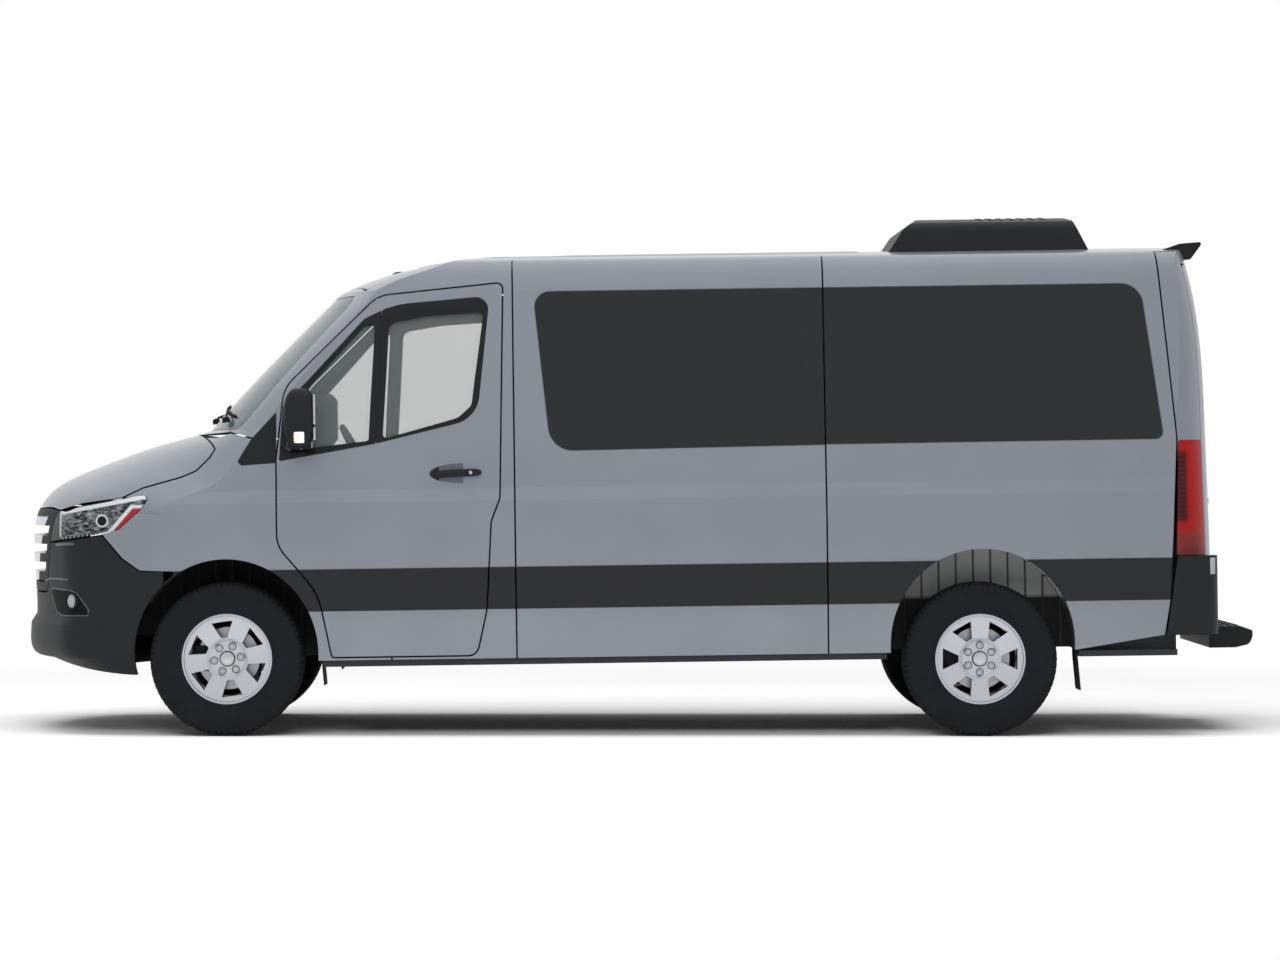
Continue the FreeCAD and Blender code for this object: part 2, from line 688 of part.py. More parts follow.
def add_dashboard():
    side = 880
    block = side_block([(120, 900, 20), (150, 1180, 60), (260, 1330, 80), (520, 1290, 60), (560, 1180, 40),
                        (480, 980, 40), (470, 760, 30), (300, 740, 30)], -side, side)
    block = block.common(form(val.wall)).cut(arch_block(0, -1200, 1200, 12))
    add_node("dashboard", solids(block))


def add_seats():
    half = val.seat_width / 2
    cushions = []
    frames = []
    top = val.cushion_height
    low = top - val.cushion_thick

    def seat(back, side):
        cushion = box(back, back + val.seat_depth, side - half, side + half, low, top)
        cushion = cushion.makeFillet(35, cushion.Edges)
        rest = side_block([(back + val.seat_depth - 70, top + 8, 30), (back + val.seat_depth + 60,
                           top + val.back_height, 40), (back + val.seat_depth + 60 + val.back_thick,
                           top + val.back_height, 40), (back + val.seat_depth + 50, top + 8, 30)],
                          side - half, side + half)
        head = box(back + val.seat_depth + 62, back + val.seat_depth + 150, side - 130, side + 130,
                   top + val.back_height + 8, top + val.back_height + 168)
        head = head.makeFillet(30, head.Edges)
        post = box(back + val.seat_depth + 100, back + val.seat_depth + 112, side - 60, side + 60,
                   top + val.back_height - 30, top + val.back_height + 30)
        return cushion, rest.fuse([head, post])

    for side in (-430, 430):
        cushions.extend(seat(850, side))
        frames.append(box(880, 1270, side - 180, side + 180, val.floor_height, low))
    add_node("front_seats", Part.makeCompound(cushions))
    rows = []
    for row in range(int(val.row_count)):
        back = val.first_row + row * val.row_pitch
        for side in (560, 100, -360):
            rows.extend(seat(back, side))
        frames.append(box(back + 60, back + 400, -480, 640 if row < 2 else 480, val.floor_height, low))
    add_node("rear_seats", Part.makeCompound(rows))
    add_node("seat_frames", Part.makeCompound(frames))


def add_running_gear():
    low = val.floor_height - val.floor_thick
    tank = box(1300, 2250, 140, 640, 350, low)
    tank = tank.makeFillet(40, [edge for edge in tank.Edges if edge.BoundBox.ZMin < low - 1])
    add_node("fuel_tank", tank)
    level = low - 95 - val.seat_gap
    muffler = Part.makeCylinder(95, 620, at(3000, -330, level), V(1, 0, 0))
    pipe = Part.makeCylinder(30, 1600, at(2400, -330, level), V(1, 0, 0))
    add_node("exhaust", muffler.fuse(pipe))


def add_engine():
    engine = document.addObject("Part::Box", "engine")
    engine.setExpression("Length", "Sizes.engine_length")
    engine.setExpression("Width", "Sizes.engine_width")
    engine.setExpression("Height", "Sizes.engine_height")
    engine.Placement = rake_placement().multiply(FreeCAD.Placement(at(60, -val.engine_width / 2, 470),
                                                                   FreeCAD.Rotation()))
    nodes.append(engine)


# Wheels and axles, level with the ground

def origin_plane(body, role):
    for feature in body.Origin.OriginFeatures:
        if feature.Role == role:
            return feature
    raise ValueError(role)


def formula_value(body, formula):
    return float(body.evalExpression(formula))


def outline_sketch(body, name, role, corners, rounded=()):
    # every corner is a pair of formulas, and each is a driving distance from the origin
    sketch = body.newObject("Sketcher::SketchObject", name)
    sketch.AttachmentSupport = (origin_plane(body, role), [""])
    sketch.MapMode = "FlatFace"
    points = [V(formula_value(body, first), formula_value(body, second), 0) for first, second in corners]
    count = len(points)
    for index in range(count):
        sketch.addGeometry(Part.LineSegment(points[index], points[(index + 1) % count]), False)
    for index in range(count):
        sketch.addConstraint(Sketcher.Constraint("Coincident", index, 2, (index + 1) % count, 1))
    for index, (first, second) in enumerate(corners):
        for kind, formula in (("DistanceX", first), ("DistanceY", second)):
            value = formula_value(body, formula)
            number = sketch.addConstraint(Sketcher.Constraint(kind, -1, 1, index, 1, value))
            sketch.setExpression(f"Constraints[{number}]", formula)
    return sketch


def revolved(body, sketch):
    turn = body.newObject("PartDesign::Revolution", sketch.Name + "_turn")
    turn.Profile = sketch
    turn.ReferenceAxis = (sketch, ["V_Axis"])
    turn.Angle = 360
    return turn


def make_tyre(label):
    body = document.addObject("PartDesign::Body", label)
    inner = "Sizes.rim_radius - 2 + Sizes.seat_gap"
    wall = "Sizes.tyre_radius * 0.79"
    shoulder = "Sizes.tyre_radius - Sizes.shoulder_drop"
    crown = "Sizes.tyre_radius"
    half = "Sizes.tyre_width / 2"
    tread = "Sizes.tread_width / 2"
    bead = "Sizes.tyre_width / 2 - 16"
    edge = "Sizes.tyre_width / 2 - 8"
    corners = [(inner, bead), (wall, half), (shoulder, edge), (crown, tread),
               (crown, "-(" + tread + ")"), (shoulder, "-(" + edge + ")"), (wall, "-(" + half + ")"),
               (inner, "-(" + bead + ")")]
    revolved(body, outline_sketch(body, label + "_outline", "XY_Plane", corners))
    return body


def make_rim(label):
    body = document.addObject("PartDesign::Body", label)
    lip = "Sizes.rim_radius - 2"
    barrel = "Sizes.rim_radius - 28"
    well = "Sizes.rim_radius - 28 - Sizes.rim_wall"
    hub = "Sizes.hub_radius"
    cap = "Sizes.hub_cap_radius"
    bore = "Sizes.stub_radius + Sizes.bearing_gap"
    disc = "Sizes.disc_radius"
    corners = [("0", "62"), (cap, "62"), (cap + " + 6", "52"), (hub + " + 6", "52"), (hub + " + 24", "64"),
               (well + " + 2", "78"), (lip + " - 12", "82"), (lip + " - 10", "94"), (lip, "94"), (lip, "80"),
               (barrel, "60"), (barrel, "-76"), (lip, "-88"), (lip, "-98"), (lip + " - 10", "-98"), (well, "-80"),
               (well, "40"), (hub + " + 24", "34"), (hub, "18"), (hub, "-20"), (disc, "-20"),
               (disc, "-20 - Sizes.disc_thick"), ("60", "-20 - Sizes.disc_thick"), ("60", "-60"), (bore, "-60"),
               (bore, "36"), ("0", "36")]
    revolved(body, outline_sketch(body, label + "_outline", "XY_Plane", corners))
    document.recompute()
    opening = [("Sizes.hub_radius + 26", "16"), ("Sizes.rim_radius - 40", "52"),
               ("Sizes.rim_radius - 40", "-52"), ("Sizes.hub_radius + 26", "-16")]
    window = outline_sketch(body, label + "_window", "XZ_Plane", opening)
    pocket = body.newObject("PartDesign::Pocket", label + "_opening")
    pocket.Profile = window
    pocket.Type = 0
    pocket.Length = 100
    pocket.Reversed = False
    document.recompute()
    before = body.Shape.Volume
    pattern = body.newObject("PartDesign::PolarPattern", label + "_spokes")
    pattern.Originals = [pocket]
    pattern.Axis = (window, ["N_Axis"])
    pattern.Angle = 360
    pattern.setExpression("Occurrences", "Sizes.spoke_count")
    body.Tip = pattern
    document.recompute()
    if body.Shape.Volume >= before - 1000:
        raise ValueError("the spoke openings cut nothing")
    return body


def wheel_placement(back, side, phase):
    turn = FreeCAD.Rotation(V(0, 1, 0), phase)
    if side < 0:
        turn = FreeCAD.Rotation(V(0, 0, 1), 180).multiply(turn)
    return FreeCAD.Placement(V(val.front_axle_x - back, side * val.half_track, val.tyre_radius), turn)


def add_wheels():
    places = {"front_left": (0, 1, -22), "front_right": (0, -1, 22),
              "rear_left": (val.wheelbase, 1, 0), "rear_right": (val.wheelbase, -1, 0)}
    for name, (back, side, phase) in places.items():
        for maker, kind in ((make_tyre, "tyre_"), (make_rim, "rim_")):
            body = maker(kind + name)
            body.Placement = wheel_placement(back, side, phase)
            nodes.append(body)


def level_box(low_back, high_back, low_y, high_y, low_z, high_z):
    return box(low_back, high_back, low_y, high_y, low_z, high_z)


def caliper(back, side_sign):
    face = val.half_track - 20
    block = level_box(back - 168, back - 92, face - val.disc_thick - 24, face + 22, val.tyre_radius - 62,
                      val.tyre_radius + 62)
    ring = Part.makeCylinder(val.rim_radius - 50, 100, at(back, face - 70, val.tyre_radius), V(0, 1, 0))
    disc_room = Part.makeCylinder(val.disc_radius + 6, val.disc_thick + 12,
                                  at(back, face - val.disc_thick - 6, val.tyre_radius), V(0, 1, 0))
    return block.common(ring).cut(disc_room)


def add_knuckles():
    pin_side = val.half_track - val.kingpin_in
    hub = val.tyre_radius
    upright = level_box(-40, 40, pin_side - 30, pin_side + 30, hub - 105, hub + 105)
    upright = upright.fuse(level_box(-168, -30, pin_side + 14, pin_side + 30, hub - 62, hub + 62))
    stub = Part.makeCylinder(val.stub_radius, val.kingpin_in + 26, at(0, pin_side, hub), V(0, 1, 0))
    pin = Part.makeCylinder(14, 2 * 140, at(0, pin_side, hub - 140), V(0, 0, 1))
    shape = upright.fuse([stub, pin, caliper(0, 1)]).removeSplitter()
    shape = solids(shape)
    add_node("knuckle_left", shape, raked=False)
    add_node("knuckle_right", mirrored(shape), raked=False)


def add_front_suspension():
    pin_side = val.half_track - val.kingpin_in
    hub = val.tyre_radius
    beam = level_box(-60, 60, -620, 620, hub - 160, hub - 90)
    shapes = []
    for low in (hub - 138, hub + 112):
        arm = level_box(-28, 28, 560, pin_side + 26, low, low + 26)
        arm = arm.cut(Part.makeCylinder(14 + val.bearing_gap, 60, at(0, pin_side, low - 10), V(0, 0, 1)))
        shapes.append(arm)
    post = Part.makeCylinder(26, 300, at(0, 600, hub + 112), V(0, 0, 1))
    tie = level_box(-24, 24, 540, 620, hub - 120, hub + 130)
    side = shapes[0].fuse([shapes[1], post, tie])
    add_node("front_suspension", solids(beam.fuse([side, mirrored(side)]).removeSplitter()), raked=False)


def floor_underside(back):
    # height above the ground of the raked floor's lower face
    turn = math.radians(val.rake)
    rise = val.floor_height - val.floor_thick - val.tyre_radius
    return val.tyre_radius + rise / math.cos(turn) + back * math.tan(turn)


def add_rear_axle():
    hub = val.tyre_radius
    reach = val.half_track - 90
    back = val.wheelbase
    tube = Part.makeCylinder(val.beam_radius, 2 * reach, at(back, -reach, hub), V(0, 1, 0))
    stub = Part.makeCylinder(val.stub_radius, 2 * (val.half_track + 26), at(back, -val.half_track - 26, hub),
                             V(0, 1, 0))
    ball = Part.makeSphere(150, at(back, 0, hub))
    springs = []
    for side in (-560, 560):
        leaf = side_block([(back - 640, hub + 150, 0), (back, hub - 12, 2200), (back + 700, hub + 160, 0),
                           (back + 700, hub + 188, 0), (back, hub + 20, 2200), (back - 640, hub + 178, 0)],
                          side - 35, side + 35)
        springs.append(leaf)
        for end in (back - 640, back + 650):
            top = floor_underside(end) - val.seat_gap
            springs.append(level_box(end, end + 50, side - 35, side + 35, hub + 150, top))
    left = caliper(back, 1).fuse(level_box(back - 168, back - 20, 760, 784, hub - 62, hub + 62))
    shape = tube.fuse([stub, ball, left, mirrored(left)] + springs).removeSplitter()
    add_node("rear_axle", solids(shape), raked=False)


def add_steering_wheel():
    tilt = 90 - val.steering_tilt
    centre = V(0, 0, 0)
    ring = Part.makeTorus(val.steering_radius, val.grip_radius, centre, V(0, 0, 1))
    hub = Part.makeCylinder(55, 40, V(0, 0, -30), V(0, 0, 1))
    shaft = Part.makeCylinder(22, 90, V(0, 0, -118), V(0, 0, 1))
    spokes = []
    for angle in (0, 180, 270):
        spoke = Part.makeBox(val.steering_radius - 8, 30, 16, V(0, -15, -10))
        spoke.rotate(centre, V(0, 0, 1), angle)
        spokes.append(spoke)
    wheel = ring.fuse([hub, shaft] + spokes)
    wheel.rotate(centre, V(0, 0, 1), -90)
    wheel.rotate(centre, V(0, 1, 0), -tilt + 0)
    wheel.translate(at(val.steering_back, val.steering_side, val.steering_height))
    add_node("steering_wheel", wheel)


add_arch_liners()
add_mudflaps()
add_aircon()
add_spoiler()
add_mirrors()
add_dashboard()
add_seats()
add_running_gear()
add_engine()
add_wheels()
add_knuckles()
add_front_suspension()
add_rear_axle()
add_steering_wheel()

document.recompute()
for item in document.Objects:
    if "Invalid" in item.State or "Error" in item.State:
        raise ValueError(item.Label + " failed to build")
for node in nodes:
    if node.Shape.isNull() or not node.Shape.isValid() or not node.Shape.Solids:
        raise ValueError(node.Label + " has no valid shape")
os.makedirs("parts", exist_ok=True)
for node in nodes:
    node.Shape.exportStep("parts/" + node.Label + ".step")
print(len(nodes), "pieces")
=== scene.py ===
import bmesh
import bpy
import math
import numpy as np
from functools import partialmethod
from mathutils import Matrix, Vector
from mathutils.bvhtree import BVHTree


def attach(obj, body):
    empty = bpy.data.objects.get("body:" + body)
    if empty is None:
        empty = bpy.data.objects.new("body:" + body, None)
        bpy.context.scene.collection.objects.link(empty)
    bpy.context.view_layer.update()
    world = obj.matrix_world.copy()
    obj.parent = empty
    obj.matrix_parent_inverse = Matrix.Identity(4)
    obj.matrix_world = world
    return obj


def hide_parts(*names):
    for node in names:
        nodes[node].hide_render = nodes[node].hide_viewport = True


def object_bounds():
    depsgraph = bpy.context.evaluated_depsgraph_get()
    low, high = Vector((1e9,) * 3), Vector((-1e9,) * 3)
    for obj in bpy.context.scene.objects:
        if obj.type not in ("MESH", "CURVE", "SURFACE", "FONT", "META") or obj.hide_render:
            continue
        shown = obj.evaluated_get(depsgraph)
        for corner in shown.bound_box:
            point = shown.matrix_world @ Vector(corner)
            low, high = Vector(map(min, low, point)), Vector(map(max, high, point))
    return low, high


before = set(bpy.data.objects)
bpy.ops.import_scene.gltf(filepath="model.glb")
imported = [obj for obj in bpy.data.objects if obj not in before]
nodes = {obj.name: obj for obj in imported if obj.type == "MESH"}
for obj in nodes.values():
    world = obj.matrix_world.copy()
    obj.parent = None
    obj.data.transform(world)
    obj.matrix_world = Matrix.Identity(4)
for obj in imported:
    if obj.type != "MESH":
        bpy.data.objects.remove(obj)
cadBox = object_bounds()
print("frame loaded")

# metres; the body is drawn level and tipped nose-down about the front axle, the wheels stand level
van = {
    "frontAxle": 1.997, "wheelbase": 3.665, "halfTrack": 0.855, "wheelRadius": 0.375,
    "rake": math.radians(0.8), "clear": 2.0, "above": 3.2}
sides = {"left": 1, "right": -1}
cosRake, sinRake = math.cos(van["rake"]), math.sin(van["rake"])


def inBody(back, side, height):
    # body places (behind the front axle, to the left, above the ground when level) as world points
    back, side, height = np.broadcast_arrays(*[np.asarray(value, float) for value in (back, side, height)])
    rise = height - van["wheelRadius"]
    ahead = van["frontAxle"] - back * cosRake + rise * sinRake
    return np.stack([ahead, side, van["wheelRadius"] + back * sinRake + rise * cosRake], axis=-1)


# meshes

meshValues = {"merge": 1e-6, "sharp": math.radians(38), "boxRows": 17, "boxAround": 40, "boxPower": 0.16}


def linked(name, data):
    item = bpy.data.objects.new(name, data)
    bpy.context.scene.collection.objects.link(item)
    return item


def smoothMesh(name, points, faces, mixed=False):
    # poles are merged, and the surface is turned outwards as a whole, or face by face where parts differ
    mesh = bpy.data.meshes.new(name)
    mesh.from_pydata(np.asarray(points, float).reshape(-1, 3).tolist(), [], np.asarray(faces).tolist())
    form = bmesh.new()
    form.from_mesh(mesh)
    bmesh.ops.remove_doubles(form, verts=form.verts, dist=meshValues["merge"])
    if mixed:
        bmesh.ops.recalc_face_normals(form, faces=form.faces)
    elif form.calc_volume(signed=True) < 0:
        bmesh.ops.reverse_faces(form, faces=form.faces)
    form.to_mesh(mesh)
    form.free()
    mesh.polygons.foreach_set("use_smooth", np.full(len(mesh.polygons), True))
    return mesh


def meshObject(name, parts, finishName, body="body"):
    mesh = smoothMesh(name, *parts)
    mesh.set_sharp_from_angle(angle=meshValues["sharp"])
    mesh.materials.append(finishes[finishName])
    mesh.update()
    piece = linked(name, mesh)
    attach(piece, body)
    return piece


def gridFaces(rows, columns, closeRows=False, closeColumns=False, flip=False):
    # quads between neighbours of a grid of points laid out row by row
    index = np.arange(rows * columns).reshape(rows, columns)
    if closeRows:
        index = np.concatenate([index, index[:1]], axis=0)
    if closeColumns:
        index = np.concatenate([index, index[:, :1]], axis=1)
    quads = np.stack([index[:-1, :-1], index[:-1, 1:], index[1:, 1:], index[1:, :-1]], -1).reshape(-1, 4)
    return quads[:, ::-1] if flip else quads


def joined(parts):
    # several (points, faces) as one
    points, faces, count = [], [], 0
    for somePoints, someFaces in parts:
        points.append(np.asarray(somePoints, float).reshape(-1, 3))
        faces.append(np.asarray(someFaces) + count)
        count += len(points[-1])
    return np.concatenate(points), np.concatenate(faces)


def unit(vectors):
    return vectors / np.linalg.norm(vectors, axis=-1, keepdims=True)


def fullTurn(count):
    return np.linspace(0, 2 * math.pi, count, endpoint=False)


def spaced(points, count, closed=False):
    # evenly spaced points on a run of straight pieces
    points = np.asarray(points, float)
    if closed:
        points = np.concatenate([points, points[:1]])
    along = np.concatenate([[0], np.cumsum(np.linalg.norm(np.diff(points, axis=0), axis=1))])
    wanted = np.linspace(0, along[-1], count, endpoint=not closed)
    return np.stack([np.interp(wanted, along, column) for column in points.T], axis=-1)


def roundedLoop(corners, count):
    # evenly spaced points on an outline of (first, second, radius) corners, straight runs and arcs
    corners = np.asarray(corners, float)
    places = corners[:, :2]
    pieces = []
    for index, radius in enumerate(corners[:, 2]):
        here = places[index]
        toLast = unit(places[index - 1] - here)
        toNext = unit(places[(index + 1) % len(places)] - here)
        half = math.acos(np.clip(toLast @ toNext, -1, 1)) / 2
        reach = radius / max(math.tan(half), 1e-6)
        middle = here + unit(toLast + toNext) * radius / math.sin(half)
        turn = np.linspace(0, 1, 9)[:, None]
        chord = (here + toLast * reach) * (1 - turn) + (here + toNext * reach) * turn - middle
        length = np.maximum(np.linalg.norm(chord, axis=1, keepdims=True), 1e-9)
        pieces.append(middle + chord / length * radius if radius else here[None])
    return spaced(np.concatenate(pieces), count, True)


def capped(path):
    # a path with its ends doubled, the ways along it, and how far a section opens at each place
    path = np.asarray(path, float)
    order = np.concatenate([[0], np.arange(len(path)), [len(path) - 1]])
    opened = np.ones(len(order))
    opened[[0, -1]] = 0
    return path[order], unit(np.gradient(path, axis=0))[order], opened


def tubeParts(path, radius, around=12):
    # a round section carried along a path and drawn to a point at both ends
    path, along, opened = capped(path)
    guide = np.array([0.0, 0, 1]) if abs(along[0][2]) < 0.9 else np.array([0.0, 1, 0])
    first = unit(np.cross(along, guide))
    second = np.cross(along, first)
    angle = fullTurn(around)
    ring = first[:, None] * np.cos(angle)[:, None] + second[:, None] * np.sin(angle)[:, None]
    points = path[:, None] + ring * (radius * opened)[:, None, None]
    return points, gridFaces(len(path), around, closeColumns=True)


def stripParts(path, section, flat):
    # a flat closed section of (across, out) carried along a path; flat is the way out of the surface
    path, along, opened = capped(path)
    flat = np.broadcast_to(np.asarray(flat, float), path.shape)
    across = unit(np.cross(flat, along))
    section = np.asarray(section, float)
    middle = section.mean(axis=0)
    reach = middle + (section[None] - middle) * opened[:, None, None]
    points = path[:, None] + across[:, None] * reach[..., :1] + flat[:, None] * reach[..., 1:]
    return points, gridFaces(len(path), len(section), closeColumns=True)


def bent(value, power):
    return np.sign(value) * np.abs(value) ** power


def squareBall(rows, around, power):
    # a sphere's three coordinates with its sines and cosines raised to a power below one, which
    # fills it out towards a box
    turn, rise = fullTurn(around), np.linspace(-math.pi / 2, math.pi / 2, rows)
    flat = np.abs(np.cos(rise)) ** power
    flat[[0, -1]] = 0
    up = np.broadcast_to(bent(np.sin(rise), power)[:, None], (rows, around))
    return flat[:, None] * bent(np.cos(turn), power), flat[:, None] * bent(np.sin(turn), power), up


def boxParts(low, high):
    # a box with rounded edges
    low, high = np.asarray(low, float), np.asarray(high, float)
    rows, around = meshValues["boxRows"], meshValues["boxAround"]
    points = np.stack(squareBall(rows, around, meshValues["boxPower"]), -1)
    return (low + high) / 2 + points * (high - low) / 2, gridFaces(rows, around, closeColumns=True)


def inBodyParts(parts, sign=1):
    # points given as (back, side, height) moved to the world, on the left or mirrored to the right
    points = np.asarray(parts[0]).reshape(-1, 3) * (1, sign, 1)
    return inBody(*points.T), parts[1]


def bodyBox(low, high, sign=1):
    return inBodyParts(boxParts(low, high), sign)


def latheParts(profile, centre, axis, around):
    # a profile of (along the axis, radius) turned about the axis through a centre
    axis = unit(np.asarray(axis, float))
    guide = np.array([0.0, 0, 1]) if abs(axis[2]) < 0.9 else np.array([1.0, 0, 0])
    first = unit(np.cross(guide, axis))
    second = np.cross(axis, first)
    profile = np.asarray(profile, float)
    angle = fullTurn(around)
    ring = first * np.cos(angle)[:, None] + second * np.sin(angle)[:, None]
    points = np.asarray(centre) + axis * profile[:, 0, None, None] + ring[None] * profile[:, 1, None, None]
    return points, gridFaces(len(profile), around, closeColumns=True, flip=True)


# what the nodes' surfaces are like, so that trim lies on them

def nodeTree(name):
    mesh = nodes[name].data
    points = np.empty(len(mesh.vertices) * 3)
    mesh.vertices.foreach_get("co", points)
    corners = np.empty(len(mesh.polygons) * 3, int)
    mesh.polygons.foreach_get("vertices", corners)
    return BVHTree.FromPolygons(points.reshape(-1, 3).tolist(), corners.reshape(-1, 3).tolist())


def touch(tree, start, direction):
    # where a straight line first meets a node
    place = tree.ray_cast(Vector(start), Vector(direction))[0]
    return None if place is None else np.array(place)


def onTop(tree, back, side):
    # the place straight below a point above the van, by world distance behind the front axle
    return touch(tree, (van["frontAxle"] - back, side, van["above"]), (0, 0, -1))


skinValues = {"back": 1.455, "heights": (0.37, 2.26, 190)}
skinTree = nodeTree("side_panel_left_front")
skinHeights = np.linspace(*skinValues["heights"])
skinStarts = inBody(skinValues["back"], van["clear"], skinHeights)
skinHits = [touch(skinTree, start, (0, -1, 0)) for start in skinStarts]
skin = np.array([(height, hit[1]) for height, hit in zip(skinHeights, skinHits) if hit is not None]).T


def onSide(back, height, proud, sign=1):
    # places on the van's side, a little proud of its skin
    return inBody(back, (np.interp(height, *skin) + proud) * sign, height)


# materials

def tone(red, green, blue):
    # an 8-bit screen colour as the linear value that a shader takes
    screen = np.array([red, green, blue]) / 255
    linear = np.where(screen <= 0.04045, screen / 12.92, ((screen + 0.055) / 1.055) ** 2.4)
    return (*[float(value) for value in linear], 1.0)


def shaded(colour, share):
    return (*[value * share for value in colour[:3]], 1)


def addNode(tree, kind, inputs=(), **settings):
    node = tree.nodes.new(kind)
    for setting, value in settings.items():
        setattr(node, setting, value)
    for place, value in enumerate(inputs):
        if isinstance(value, bpy.types.NodeSocket):
            tree.links.new(value, node.inputs[place])
        elif value is not None:
            node.inputs[place].default_value = value
    return node


class Finish:
    # a Principled material with short ways to add nodes to it

    def __init__(self, name, **values):
        self.material = bpy.data.materials.new(name)
        self.material.use_nodes = True
        self.tree = self.material.node_tree
        self.shader = self.tree.nodes["Principled BSDF"]
        for socket, value in values.items():
            self.shader.inputs[socket.replace("_", " ")].default_value = value
        coordinates = self.add("ShaderNodeTexCoord").outputs
        self.object, self.normal = coordinates["Object"], coordinates["Normal"]

    def add(self, kind, inputs=(), **settings):
        return addNode(self.tree, kind, inputs, **settings)

    def value(self, operation, *values):
        return self.add("ShaderNodeMath", values, operation=operation).outputs[0]

    plus = partialmethod(value, "ADD")
    minus = partialmethod(value, "SUBTRACT")
    times = partialmethod(value, "MULTIPLY")
    over = partialmethod(value, "DIVIDE")
    either = partialmethod(value, "MAXIMUM")
    sine = partialmethod(value, "SINE")
    size = partialmethod(value, "ABSOLUTE")
    opposite = partialmethod(value, "SUBTRACT", 1.0)

    def vector(self, operation, *values):
        outputs = self.add("ShaderNodeVectorMath", values, operation=operation).outputs
        return outputs["Value" if operation in ("DOT_PRODUCT", "LENGTH") else "Vector"]

    def along(self, direction, start=(0, 0, 0)):
        # how far a point lies along a direction from a start
        return self.vector("DOT_PRODUCT", self.vector("SUBTRACT", self.object, start), direction)

    def height(self):
        rise = self.along((sinRake, 0, cosRake), (van["frontAxle"], 0, van["wheelRadius"]))
        return self.plus(rise, van["wheelRadius"])

    def back(self):
        return self.along((-cosRake, 0, sinRake), (van["frontAxle"], 0, van["wheelRadius"]))

    def side(self):
        return self.along((0, 1, 0))

    def step(self, value, edge, soft=0.001):
        # 0 below an edge and 1 above it
        return self.add("ShaderNodeMapRange", (value, edge - soft, edge + soft, 0.0, 1.0)).outputs[0]

    def below(self, value, edge, soft=0.001):
        return self.opposite(self.step(value, edge, soft))

    def band(self, value, low, high, soft=0.001):
        return self.times(self.step(value, low, soft), self.below(value, high, soft))

    def line(self, value, start, level, slope):
        # level at the start, and slope more for each unit past it
        return self.plus(level, self.times(self.minus(value, start), slope))

    def wave(self, value, half):
        # a sine with this half wavelength
        return self.sine(self.times(value, math.pi / half))

    def mixColour(self, share, first, second):
        inputs = (share, None, None, None, None, None, first, second)
        return self.add("ShaderNodeMix", inputs, data_type="RGBA").outputs[2]

    def mixValue(self, share, first, second):
        return self.plus(first, self.times(share, self.minus(second, first)))

    def noise(self, scale, detail=3.0, roughness=0.55, stretch=None):
        place = self.vector("MULTIPLY", self.object, stretch) if stretch else self.object
        return self.add("ShaderNodeTexNoise", (place, None, scale, detail, roughness)).outputs[0]

    def link(self, **sockets):
        for socket, value in sockets.items():
            self.tree.links.new(value, self.shader.inputs[socket.replace("_", " ")])

    def bump(self, height, strength, distance):
        node = self.add("ShaderNodeBump", (strength, distance))
        self.tree.links.new(height, node.inputs["Height"])
        self.link(Normal=node.outputs[0])


# the dish entry and the colour after it place and colour the painted shade in the dish behind each front
# handle
paintValues = {
    "colour": tone(126, 131, 140), "shade": tone(117, 122, 131), "trim": tone(78, 80, 84),
    "strip": tone(21, 22, 24), "stripLow": 0.602, "stripHigh": 0.806, "middle": (0, 0, 1.2), "flake": 900.0,
    "dish": (1.160, 1.263, 0.161, 0.0488, 1.046), "dishShade": tone(82, 87, 92)}


def handleShadow(finish, dish):
    # painted shade in the half oval dish behind each front handle, and painted shadow at its black front
    # end
    back, height, halfLong, halfTall, dark = dish
    along = finish.over(finish.minus(finish.back(), back), halfLong)
    up = finish.over(finish.minus(finish.height(), height), halfTall)
    reach = finish.plus(finish.times(along, along), finish.times(up, up))
    within = finish.times(finish.below(reach, 1.0, 0.02), finish.below(finish.back(), back + 0.003))
    return within, finish.times(within, finish.below(finish.back(), dark, 0.004))


def bodyPaint(name, strip):
    # metallic lacquer outside, pale trim on faces that look inwards, and the black band along the sides
    # with painted shade in the dish behind each front handle
    finish = Finish(name, Coat_Roughness=0.03, Specular_IOR_Level=0.3)
    colour = finish.mixColour(finish.noise(2.2, 2.0), paintValues["colour"], paintValues["shade"])
    outward = finish.vector("SUBTRACT", finish.object, paintValues["middle"])
    outward = finish.vector("MULTIPLY", outward, (0.12, 1.0, 1.0))
    inside = finish.below(finish.vector("DOT_PRODUCT", outward, finish.normal), -0.02, 0.02)
    colour = finish.mixColour(inside, colour, paintValues["trim"])
    dull = inside
    if strip:
        black = finish.band(finish.height(), paintValues["stripLow"], paintValues["stripHigh"], 0.0008)
        colour = finish.mixColour(black, colour, paintValues["strip"])
        # painted shade: the dish behind each front handle darker, and its front end black as shadow, on
        # outside faces only
        dishShade, frontShadow = handleShadow(finish, paintValues["dish"])
        outside = finish.opposite(inside)
        colour = finish.mixColour(finish.times(dishShade, outside), colour, paintValues["dishShade"])
        colour = finish.mixColour(finish.times(frontShadow, outside), colour, paintValues["strip"])
        dull = finish.either(finish.either(inside, black), frontShadow)
    finish.link(Base_Color=colour, Metallic=finish.mixValue(dull, 0.45, 0.0),
                Roughness=finish.mixValue(dull, 0.32, 0.55), Coat_Weight=finish.mixValue(dull, 0.35, 0.0))
    finish.bump(finish.noise(paintValues["flake"], 1.0), 0.04, 0.0002)
    return finish.material


def mouldedPlastic(name, colour, roughness=0.5, grain=420.0, depth=0.25, shine=0.13):
    finish = Finish(name, Roughness=roughness, Specular_IOR_Level=shine)
    finish.link(Base_Color=finish.mixColour(finish.noise(6.0, 4.0), colour, shaded(colour, 1.25)))
    finish.bump(finish.noise(grain, 2.0), depth, 0.0003)
    return finish.material


